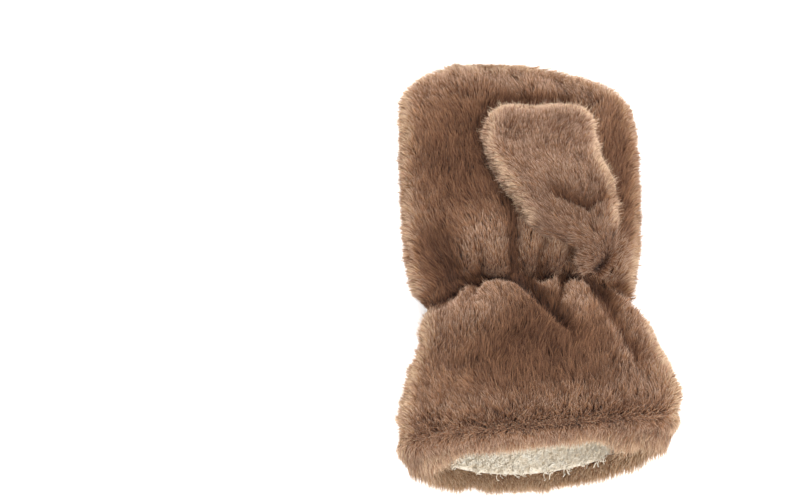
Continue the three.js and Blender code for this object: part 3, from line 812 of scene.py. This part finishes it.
def made(name, make):
    """The material of that name, made on first use."""
    return bpy.data.materials.get(name) or make()


def place(obj, material, slot, *nodes):
    """Gives a piece its material and its place in the frame."""
    obj.data.materials.append(material)
    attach(obj, "root")
    if nodes:
        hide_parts(*nodes)


def outline(point, places):
    """Places round a bag's outline, seen from above: both its sides and its far end."""
    left, right = point(math.pi, places, 0.0), point(0.0, places, 0.0)
    return np.concatenate([left, right, np.linspace(left[-1], right[-1], 30)])[:, :2]


def nearness(x, y, line, reach):
    """Share from 1 on a line of places down to 0 far from it."""
    away = np.full(x.shape, 1e9)
    for place_x, place_y in line:
        away = np.minimum(away, np.hypot(x - place_x, y - place_y))
    return np.exp(-((away / reach) ** 2))


def painted_rim_light_share(coat, line, reach):
    """Share of painted rim light that a coat's cells get, from how near their strands end to an outline
    seen from above.
    """
    over = coat.tips + FRINGE["strand"] * coat.nap
    return nearness(over[..., 0], over[..., 1], line, reach)


def fringe(coat, line, reach):
    """Near its outline a coat's pile points outwards, shorter, and shows its pale tips, brightened by
    painted rim light.
    """
    near = nearness(coat.tips[..., 0], coat.tips[..., 1], line, reach)
    outward = unit(coat.normal * np.array([1.0, 1.0, 0.0]))
    turned = 0.75 * near[..., None]
    coat.nap = unit(coat.nap * (1 - turned) + outward * turned)
    coat.reach = 1 - 0.5 * near
    coat.full = coat.full - 0.40 * near
    coat.edge = painted_rim_light_share(coat, line, reach)


def body_shade(angles, places):
    """Painted shade over the body, down in its folds and beside the thumb that lies on it, with painted
    light where it is negative.
    """
    angle, y = np.meshgrid(angles, places)
    left, right, _, _ = body_section(y, 0.0)
    x = (left + right) / 2 + np.cos(angle) * (right - left) / 2
    palm = np.sin(angle) >= 0
    folds = np.where(palm, carved_depth(x, y, PALM_FOLDS), carved_depth(x, y, BACK_FOLDS))
    # Painted shade down in the gathers' folds, not counting the wrist groove
    shade = np.clip((folds - groove_depth(x, y)) / MOST_CARVED, 0, 1) ** 1.3
    # Painted highlight: the palm's swells are made lighter
    shade = shade - np.where(palm, 0.05 * puffed(x, y), 0)
    # Broad patches of painted shade and painted light
    for i in range(len(PAINTED_LIGHT_AND_SHADE["x"])):
        painted_patch = {name: PAINTED_LIGHT_AND_SHADE[name][i] for name in PAINTED_LIGHT_AND_SHADE}
        across, along = (x - painted_patch["x"]) / painted_patch["half_width"], (y - painted_patch["y"]) / painted_patch["half_length"]
        shade = shade + painted_patch["shade"] * np.exp(-(across**2) - along**2)
    # Painted shadow of the thumb on the palm beside it
    thumb = outline(thumb_point, np.linspace(THUMB_SHADE["from_y"], THUMB_Y[1] - 0.5, 60))
    most = np.where(x > THUMB_SHADE["right_of"], THUMB_SHADE["right"], THUMB_SHADE["left"])
    beside = nearness(x, y, thumb, THUMB_SHADE["reach"]) * most
    return np.where(palm, shade + beside * (1 - np.clip(shade, 0, 1)), shade)


def body_coat(start, end, count=150, lie=None):
    """The body's coat between two places, with lie giving the pile's lay at each."""
    places = to_tip(start, end, 0.78, count) if end > TIP_Y - 5 else np.linspace(start, end, count)

    def point(angle, y, inset, tips):
        return body_point(angle, y, inset, MOST_CARVED if tips else PELT_CARVED)

    angles = even_angles(260)
    lies = None if lie is None else lie(places)
    coat = Coat(point, angles, places, ROOT_DEPTH["body"], shade=body_shade(angles, places), lie=lies)
    fringe(coat, outline(body_point, BODY_OUTLINE), FRINGE["body"])
    return coat


def hidden_by_thumb(points):
    """True where the thumb lies on the palm."""
    x, y = points[..., 0], points[..., 1]
    sides, ends = 9, 12
    inside = (x > column(THUMB_ROWS, "left", y) + sides) & (x < column(THUMB_ROWS, "right", y) - sides)
    along = (y > THUMB_Y[0] + ends) & (y < THUMB_Y[1] - ends)
    return inside & along & (points[..., 2] > MIDDLE_HEIGHT)


def on_label(points):
    """True where the leather label covers the underside."""
    x, y, z = points[..., 0], points[..., 1], points[..., 2]
    across = np.abs(x - LABEL["x"]) < LABEL["width"] / 2 + 0.5
    row = y - LABEL["y"] - LABEL["slope"] * (x - LABEL["x"])
    return across & (row > -LABEL["height"] / 2 - 9) & (row < LABEL["height"] / 2 + 1) & (z < 14)


def palm_side(coat):
    return (cell_middles(coat)[..., 2] > SIDES_PART_AT).astype(float)


def back_side(coat):
    return (cell_middles(coat)[..., 2] <= SIDES_PART_AT).astype(float)


def underside_height(x, y, depth):
    """Height of the body's underside above a place, at a depth in the pile."""
    left, right, _, below = body_section(y, depth)
    c = (2 * x - left - right) / (right - left)
    rise = np.sqrt(np.maximum(0, 1 - c * c)) ** SECTION_BOXINESS
    return np.maximum(MIDDLE_HEIGHT - below * rise, FLOOR_PRESS * depth)


def pelt(name, places):
    """The body's backing as a closed wall between two depths."""
    angles = backing_angles()[None, :]
    outside = body_point(angles, places[:, None], PELT_OUTSIDE, PELT_CARVED)
    inside = body_point(angles, places[::-1, None], WALL_INSIDE)
    return ring_solid(name, np.concatenate([outside, inside]), closed_rows=True)


def sherpa_from(node, name, voxel, lump):
    """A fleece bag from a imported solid: remeshed fine, softened and lumped with its curls."""
    obj = bpy.data.objects.new(name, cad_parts[node].data.copy())
    bpy.context.scene.collection.objects.link(obj)
    obj.data.materials.clear()
    remesh = obj.modifiers.new("Even", "REMESH")
    remesh.mode, remesh.voxel_size, remesh.use_smooth_shade = "VOXEL", voxel, True
    soften = obj.modifiers.new("Soft", "SMOOTH")
    soften.factor, soften.iterations = 0.5, 6
    texture = bpy.data.textures.new(name + "_curls", "CLOUDS")
    texture.noise_scale, texture.noise_depth = 0.0042, 2
    curls = obj.modifiers.new("Curls", "DISPLACE")
    curls.texture, curls.texture_coords = texture, "LOCAL"
    curls.strength, curls.mid_level = lump, 0.62
    apply_modifiers(obj)
    return obj


def curl_fibres(name, count, seed):
    """Sherpa curls along the mouth: short fibres wound into loose loops on the lining."""
    rng = np.random.RandomState(seed)
    places = np.linspace(CURLS["start"], CURLS["end"], 60)

    def point(angle, y, inset, tips):
        return body_point(angle, y, inset)

    coat = Coat(point, even_angles(200), places, CURLS["root"], tip_depth=CURLS["tip"])
    thicker = np.linspace(1.6, 0.5, len(places) - 1)[:, None] ** 2
    row, col = coat.pick(count, lambda c: thicker, rng)
    root, over = coat.read(coat.roots, row, col), coat.read(coat.tips, row, col)
    inward = unit(over - root)
    way = unit(rng.normal(size=(count, 3)))
    way = unit(way - inward * np.sum(way * inward, -1)[:, None])
    side = np.cross(inward, way)
    steps = CURL_RIBBON["steps"]
    t = np.linspace(0, 1, steps)[None, :, None]
    turns = rng.uniform(1.1, 1.8, count)[:, None, None]
    start = rng.uniform(0, 2 * math.pi, count)[:, None, None]
    radius = rng.uniform(1.0, 2.0, count)[:, None, None] * (0.6 + 0.4 * t)
    high = rng.uniform(1.4, 3.4, count)[:, None, None]
    turning = start + turns * 2 * math.pi * t
    spine = root[:, None] + way[:, None] * radius * np.cos(turning)
    spine = spine + side[:, None] * radius * np.sin(turning) * 0.8
    spine = spine + inward[:, None] * (high * t * (1.4 - 0.8 * t)) + way[:, None] * (1.6 * t)
    # At the hem tufts spill out over the lip
    tuft = np.clip(0.5 + 0.6 * waves(over, seed + 1, CURL_SPILL["tuft_length"]), 0, 1)
    near = np.clip(1 - row / CURL_SPILL["rows"], 0, 1)
    spill = CURL_SPILL["most"] * tuft * near * rng.random_sample(count)
    spine = spine + spill[:, None, None] * t * np.array([0.0, -1.0, 0.45])
    along = np.gradient(spine, axis=1)
    flat = unit(np.cross(along, inward[:, None] + 0.6 * side[:, None])) * CURL_RIBBON["half_width"]
    points = np.stack([spine - flat, spine + flat], 2).reshape(-1, 3)
    first = (np.arange(count)[:, None] * steps + np.arange(steps - 1)[None, :]).reshape(-1, 1) * 2
    corners = (first + np.array([0, 1, 3, 2])).ravel()
    starts = np.arange(len(first)) * 4
    obj = mesh_object(name, points, corners, starts)
    obj.data.polygons.foreach_set("use_smooth", np.ones(len(starts), dtype=bool))
    return obj


class MittenSettings(bpy.types.PropertyGroup):
    """Sizes and colours of the mitten's pieces."""

    density: bpy.props.FloatProperty(
        name="Pile density",
        description="Share of the full number of strands",
        default=1.0,
        min=0.05,
        max=1.0,
        subtype="FACTOR",
    )
    lay: bpy.props.FloatProperty(
        name="Strand reach",
        description="How far a strand lies along the nap",
        default=0.0090,
        min=0.002,
        max=0.02,
        unit="LENGTH",
    )
    strand_width: bpy.props.FloatProperty(
        name="Strand width",
        description="Width of a strand at its root",
        default=0.00040,
        min=0.0001,
        max=0.001,
        unit="LENGTH",
    )
    clumping: bpy.props.FloatProperty(
        name="Clumping",
        description="How far strands are drawn into locks",
        default=0.45,
        min=0.0,
        max=1.0,
        subtype="FACTOR",
    )
    fur_tint: bpy.props.FloatVectorProperty(
        name="Fur tint",
        description="Colour that the pile's own colours are multiplied by",
        default=(1.0, 1.0, 1.0),
        size=3,
        min=0,
        max=2,
        subtype="COLOR",
    )
    leather_color: bpy.props.FloatVectorProperty(
        name="Leather",
        description="Colour of the label",
        default=(0.150, 0.088, 0.064),
        size=3,
        min=0,
        max=1,
        subtype="COLOR",
    )


class StageSettings(bpy.types.PropertyGroup):
    """Camera, floor and light of the picture."""

    elevation: bpy.props.FloatProperty(
        name="Camera height",
        description="Angle of the camera above the horizon",
        default=math.radians(76),
        subtype="ANGLE",
        unit="ROTATION",
    )
    distance: bpy.props.FloatProperty(
        name="Camera distance",
        description="From the camera to the middle of the picture",
        default=1.478,
        min=0.3,
        unit="LENGTH",
    )
    key_power: bpy.props.FloatProperty(
        name="Key light",
        description="Power of the large soft light",
        default=30.0,
        min=0.0,
        unit="POWER",
    )
    fill_power: bpy.props.FloatProperty(
        name="Fill light",
        description="Power of the light near the camera",
        default=26.0,
        min=0.0,
        unit="POWER",
    )
    ambient: bpy.props.FloatProperty(
        name="Ambient",
        description="Strength of the even white light from all round",
        default=0.56,
        min=0.0,
    )
    floor_glow: bpy.props.FloatProperty(
        name="Floor glow",
        description="Light that the white floor gives off",
        default=0.55,
        min=0.0,
    )


def strands(settings, lay=1.0):
    """What grow reads from the settings, in millimetres."""
    return {
        "density": settings.density,
        "lay": settings.lay * 1000 * lay,
        "width": settings.strand_width * 1000,
        "pull": settings.clumping,
    }


class MITTEN_OT_hand(bpy.types.Operator):
    """Builds the hand part: its backing and the pile of palm and back"""

    bl_idname = "mitten.hand"
    bl_label = "Hand"

    def execute(self, context):
        s = context.scene.mitten
        fur = made("FurPile", lambda: fur_material(s.fur_tint))
        back = made("FurBacking", backing_material)
        wall = pelt("hand_backing", to_tip(-3.98, TIP_Y - 6.2, 0.78, 44))
        place(wall, back, "fur", "hand_shell")
        coat = body_coat(-3.2, TIP_Y - 0.25)
        palm = grow(
            "hand_fur_palm",
            coat,
            seed=11,
            weight=palm_side,
            keep=lambda p: ~hidden_by_thumb(p),
            **strands(s),
        )
        place(palm, fur, "fur")
        below = grow("hand_fur_back", coat, seed=12, weight=back_side, **strands(s))
        place(below, fur, "fur")
        return {"FINISHED"}


class MITTEN_OT_thumb(bpy.types.Operator):
    """Builds the thumb that lies on the palm"""

    bl_idname = "mitten.thumb"
    bl_label = "Thumb"

    def execute(self, context):
        s = context.scene.mitten
        fur = made("FurPile", lambda: fur_material(s.fur_tint))
        back = made("FurBacking", backing_material)
        low, high = THUMB_Y
        angles = even_angles(72)
        places = low + (high - low) * to_both_ends(0.16, 36)

        def point(angle, y, inset, tips):
            return thumb_point(angle, np.clip(y, low + inset + 0.2, high - inset - 0.2), inset)

        wall = ring_solid("thumb_backing", point(angles[None, :-1], places[:, None], 5.0, False))
        place(wall, back, "fur", "thumb_shell")
        around = np.linspace(0, 2 * math.pi, 48, endpoint=False)
        heights = np.linspace(NECK["low"], NECK["high"], 4)
        rings = [(z, COLLAR["outer"]) for z in heights] + [(z, COLLAR["inner"]) for z in heights[::-1]]
        collar = [neck_ring(around, z, margin) for z, margin in rings]
        place(ring_solid("thumb_collar", np.stack(collar), closed_rows=True), back, "fur")
        places = low + (high - low) * to_both_ends(0.03, 110)
        coat = Coat(point, even_angles(150), places, ROOT_DEPTH["thumb"])
        turned = THUMB_TURN["most"] * smooth((THUMB_TURN["below"] - places) / THUMB_TURN["over"])
        turned = turned[:, None, None]
        coat.nap = coat.nap * np.cos(turned) + coat.side * np.sin(turned)
        x, y = coat.tips[..., 0], coat.tips[..., 1]
        fringe(coat, outline(thumb_point, np.linspace(46, high - 0.5, 60)), FRINGE["thumb"])
        # Painted shade down in the crease across the thumb's root
        crease = np.clip(thumb_crease(x, y) / THUMB_CREASE["depth"], 0, 1)
        coat.shade = 0.35 * crease * (coat.normal[..., 2] > 0)
        # Fewer strands underneath, where the thumb lies on the palm
        pile = grow(
            "thumb_fur",
            coat,
            seed=21,
            weight=lambda c: 0.25 + 0.75 * smooth((c.normal[:-1, :-1, 2] + 0.7) / 0.5),
            # Painted shade: the thumb's whole pile a little darker
            painted_light_shift=-0.07,
            **strands(s, 0.9),
        )
        place(pile, fur, "fur")
        return {"FINISHED"}


class MITTEN_OT_cuff(bpy.types.Operator):
    """Builds the flared cuff, with its turned hem"""

    bl_idname = "mitten.cuff"
    bl_label = "Cuff"

    def execute(self, context):
        s = context.scene.mitten
        fur = made("FurPile", lambda: fur_material(s.fur_tint))
        back = made("FurBacking", backing_material)
        wall = pelt("cuff_backing", np.linspace(-84, -4.02, 26))
        place(wall, back, "fur", "cuff_shell")
        coat = body_coat(-90, -4.6, 90, lie=lambda y: smooth((y + 92) / 20))
        look = {**strands(s), "stray": 0.09}
        palm = grow("cuff_fur_palm", coat, seed=31, weight=palm_side, ruffle=1.15, **look)
        place(palm, fur, "fur")
        below = grow(
            "cuff_fur_back",
            coat,
            seed=32,
            weight=back_side,
            keep=lambda p: ~on_label(p),
            **look,
        )
        place(below, fur, "fur")

        angles = backing_angles()
        turns = np.linspace(0, len(HEM_PROFILE["y"]) - 1, 18)
        rings = hem_point(angles[None, :], turns[:, None], HEM_SUNK)
        place(ring_solid("hem_backing", rings, closed_rows=True), back, "fur")

        def point(angle, k, sunk, tips):
            return hem_point(angle, k, sunk)

        turns, angles = np.linspace(0, 7.8, 80), even_angles(260)
        lie = smooth(turns / 2.2) * (1 - 0.7 * smooth((turns - 4.6) / 2.0))
        hem = Coat(point, angles, turns, HEM_SUNK, lie=lie)
        x, y = hem.tips[..., 0], hem.tips[..., 1]
        # Round the edge the pile points on out of the mouth, and it closes the mouth's corners
        edge_on = np.exp(-(((turns - 4.4) / 1.6) ** 2))[:, None]
        inner = smooth((turns - 3.6) / 1.4)[:, None]
        under = smooth(-2 * np.sin(angles))[None, :]
        below = smooth((turns - 2.4) / 1.2)[:, None]
        outward = 0.9 * (edge_on * (1 - under) + under * below)[..., None]
        hem.nap = unit(hem.nap * (1 - outward) + outward * np.array([0.0, -1.0, 0.1]))
        corners = smooth((np.abs(x - HEM_CORNERS["x"]) - HEM_CORNERS["start"]) / HEM_CORNERS["over"])
        over_mouth = edge_on * (1 - under) * (1 - corners)
        hem.full = 0.20 - 0.50 * over_mouth + inner * (1.5 * corners + 0.4 * under)
        hem.reach = 1 - 0.55 * over_mouth - 0.25 * under
        # Painted light: the lower lip, in the upper lip's shade, is made lighter
        hem.shade = -1.20 * under * np.ones_like(x)
        line = outline(body_point, BODY_OUTLINE)
        # Painted rim light round the roll's edge, on the lower lip and near the outline
        hem.edge = np.maximum(0.5 * edge_on + 0.45 * under * inner, painted_rim_light_share(hem, line, FRINGE["hem"]))
        # Painted light: the hem's whole pile a little lighter
        pile = grow("hem_fur", hem, seed=41, ruffle=1.3, stray=0.14, painted_light_shift=0.08, **strands(s, 1.05))
        place(pile, fur, "fur")
        return {"FINISHED"}


class MITTEN_OT_lining(bpy.types.Operator):
    """Builds the cream fleece inside hand, thumb and cuff, with curls at the mouth"""

    bl_idname = "mitten.lining"
    bl_label = "Lining"

    def execute(self, context):
        fleece = made("SherpaFleece", sherpa_material)
        bag = sherpa_from("hand_lining", "hand_lining_fleece", voxel=0.0026, lump=0.0022)
        place(bag, fleece, "sherpa", "hand_lining")
        thumb = sherpa_from("thumb_lining", "thumb_lining_fleece", voxel=0.0022, lump=0.0014)
        place(thumb, fleece, "sherpa", "thumb_lining")
        edge = np.linspace(LINING_EDGE["start"], LINING_EDGE["end"], 24)[:, None]
        around = even_angles(160)[None, :-1]
        outside = body_point(around, edge, LINING_EDGE["outer"])
        inside = body_point(around, edge[::-1], LINING_EDGE["inner"])
        band = np.concatenate([outside, inside])
        place(ring_solid("lining_edge", band, closed_rows=True), fleece, "sherpa")
        curls = curl_fibres("lining_curls", int(CURLS["count"] * context.scene.mitten.density), seed=51)
        place(curls, fleece, "sherpa")
        return {"FINISHED"}


class MITTEN_OT_label(bpy.types.Operator):
    """Builds the bare leather label on the back of the cuff, with a row of stitches at each end"""

    bl_idname = "mitten.label"
    bl_label = "Label"

    def execute(self, context):
        s = context.scene.mitten
        bpy.ops.mesh.primitive_grid_add(x_subdivisions=40, y_subdivisions=20, size=1)
        label = context.object
        label.name = label.data.name = "leather_label"
        flat = np.empty(len(label.data.vertices) * 3)
        label.data.vertices.foreach_get("co", flat)
        u, v = flat.reshape(-1, 3)[:, 0], flat.reshape(-1, 3)[:, 1]
        # Corners drawn in a little, so that they are rounded
        corner = np.clip((np.abs(u) - LABEL_CORNER["u"]) / (0.5 - LABEL_CORNER["u"]), 0, 1)
        corner = corner * np.clip((np.abs(v) - LABEL_CORNER["v"]) / (0.5 - LABEL_CORNER["v"]), 0, 1)
        u, v = u * (1 - LABEL_CORNER["u_in"] * corner), v * (1 - LABEL_CORNER["v_in"] * corner)
        points = label_point(u, v, LABEL["depth"] - LABEL_THICK)
        label.data.vertices.foreach_set("co", metres(points).ravel())
        edit(label, lambda: bpy.ops.mesh.normals_make_consistent(inside=False))
        thick = label.modifiers.new("Thick", "SOLIDIFY")
        thick.thickness, thick.offset = LABEL_THICK * 0.001, 1
        rounded = label.modifiers.new("Edge", "BEVEL")
        rounded.width, rounded.segments, rounded.limit_method = 0.0004, 3, "ANGLE"
        apply_modifiers(label)
        bpy.ops.object.shade_smooth_by_angle(angle=math.radians(35))
        leather = made("LabelLeather", lambda: leather_material(s.leather_color))
        place(label, leather, "leather", "cuff_label")

        stitches = label_stitches("label_stitches")
        thread = made("Thread", lambda: plain_material("Thread", (0.060, 0.034, 0.025), 0.8))
        place(stitches, thread, "leather")
        return {"FINISHED"}


def label_point(u, v, depth):
    """A place on the label, from its middle, in shares of its size."""
    x = LABEL["x"] + u * LABEL["width"]
    bow = LABEL["bow"] * (1 - (2 * u) ** 2)
    y = LABEL["y"] + v * LABEL["height"] + bow * (v + 0.5) + LABEL["slope"] * (x - LABEL["x"])
    return np.stack([x, y, underside_height(x, y, LABEL["depth"]) - (LABEL["depth"] - depth)], -1)


def label_stitches(name):
    """Thread dashes along both ends of the label, each a small rounded bar sunk half-way in."""
    sides, steps = THREAD["sides"], THREAD["steps"]
    bars, corners = [], []
    for end in (-STITCHES["ends"], STITCHES["ends"]):
        for row in np.linspace(-STITCHES["rows"], STITCHES["rows"], STITCHES["count"]):
            t = np.linspace(-1, 1, steps)
            along = row + t * STITCHES["half_length"]
            centre = label_point(np.full(steps, end), along, LABEL["depth"] - LABEL_THICK)
            radius = THREAD["radius"] * np.sqrt(np.maximum(0.02, 1 - t**4))
            turn = np.arange(sides) * 2 * math.pi / sides
            ring = np.zeros((steps, sides, 3))
            ring[..., 0] = radius[:, None] * np.cos(turn)
            ring[..., 2] = radius[:, None] * np.sin(turn) * THREAD["flatter"]
            first = len(bars) * steps * sides
            bars.append(centre[:, None] + ring)
            corners.append(grid_faces(steps, sides) + first)
    points = np.concatenate(bars).reshape(-1, 3)
    faces = np.concatenate(corners)
    obj = mesh_object(name, points, faces.ravel(), np.arange(len(faces)) * 4)

    def close_ends():
        bpy.ops.mesh.select_all(action="DESELECT")
        bpy.ops.mesh.select_mode(type="EDGE")
        bpy.ops.mesh.select_non_manifold()
        bpy.ops.mesh.edge_face_add()
        bpy.ops.mesh.select_all(action="SELECT")
        bpy.ops.mesh.normals_make_consistent(inside=False)

    edit(obj, close_ends)
    obj.data.polygons.foreach_set("use_smooth", np.ones(len(obj.data.polygons), dtype=bool))
    return obj


class MITTEN_OT_stage(bpy.types.Operator):
    """Sets the camera, the white floor and the soft light"""

    bl_idname = "mitten.stage"
    bl_label = "Stage"

    def execute(self, context):
        s = context.scene.mitten_stage
        bpy.ops.mesh.primitive_plane_add(size=14, location=(0, 0, 0))
        floor = context.object
        floor.name = "floor"
        white = plain_material("WhiteFloor", (0.93, 0.93, 0.93), 0.9)
        glow = white.node_tree.nodes["Principled BSDF"].inputs
        glow["Emission Color"].default_value = (1, 1, 1, 1)
        glow["Emission Strength"].default_value = s.floor_glow
        floor.data.materials.append(white)

        # The picture's middle lies left of the mitten, which fills the right half
        target = Vector((-0.0915, 0.0123, 0.030))
        back = Vector((0, -math.cos(s.elevation), math.sin(s.elevation)))
        bpy.ops.object.camera_add(location=target + back * s.distance)
        camera = context.object
        camera.rotation_euler = (-back).to_track_quat("-Z", "Y").to_euler()
        camera.data.lens = 100
        context.scene.camera = camera

        for name, place_at, size, power in (
            ("KeyLight", (-0.35, 1.05, 1.10), 0.9, s.key_power),
            ("FillLight", (0.6, -0.9, 1.3), 1.2, s.fill_power),
        ):
            bpy.ops.object.light_add(type="AREA", location=place_at)
            light = context.object
            light.name = name
            light.data.shape, light.data.size, light.data.energy = "DISK", size, power
            aim = Vector((0.03, 0, 0.03)) - light.location
            light.rotation_euler = aim.to_track_quat("-Z", "Y").to_euler()

        world = bpy.data.worlds.new("SoftWhite")
        world.use_nodes = True
        world.node_tree.nodes["Background"].inputs["Color"].default_value = (1, 1, 1, 1)
        world.node_tree.nodes["Background"].inputs["Strength"].default_value = s.ambient
        context.scene.world = world
        context.scene.view_settings.view_transform = "Standard"
        return {"FINISHED"}


class MITTEN_PT_panel(bpy.types.Panel):
    """Lists the mitten's settings and pieces"""

    bl_idname = "MITTEN_PT_panel"
    bl_label = "Mitten"
    bl_space_type = "VIEW_3D"
    bl_region_type = "UI"
    bl_category = "Mitten"

    def draw(self, context):
        layout = self.layout
        for owner in (context.scene.mitten, context.scene.mitten_stage):
            box = layout.box()
            for name in owner.__annotations__:
                box.prop(owner, name)
        for operator in OPERATORS:
            layout.operator(operator.bl_idname)


OPERATORS = (
    MITTEN_OT_hand,
    MITTEN_OT_thumb,
    MITTEN_OT_cuff,
    MITTEN_OT_lining,
    MITTEN_OT_label,
    MITTEN_OT_stage,
)
CLASSES = (MittenSettings, StageSettings, *OPERATORS, MITTEN_PT_panel)


def register():
    for cls in CLASSES:
        bpy.utils.register_class(cls)
    bpy.types.Scene.mitten = bpy.props.PointerProperty(type=MittenSettings)
    bpy.types.Scene.mitten_stage = bpy.props.PointerProperty(type=StageSettings)


def unregister():
    del bpy.types.Scene.mitten_stage
    del bpy.types.Scene.mitten
    for cls in reversed(CLASSES):
        bpy.utils.unregister_class(cls)


def main():
    register()
    bpy.ops.mitten.hand()
    bpy.ops.mitten.thumb()
    bpy.ops.mitten.cuff()
    bpy.ops.mitten.lining()
    bpy.ops.mitten.label()
    bpy.ops.mitten.stage()


if __name__ == "__main__":
    main()
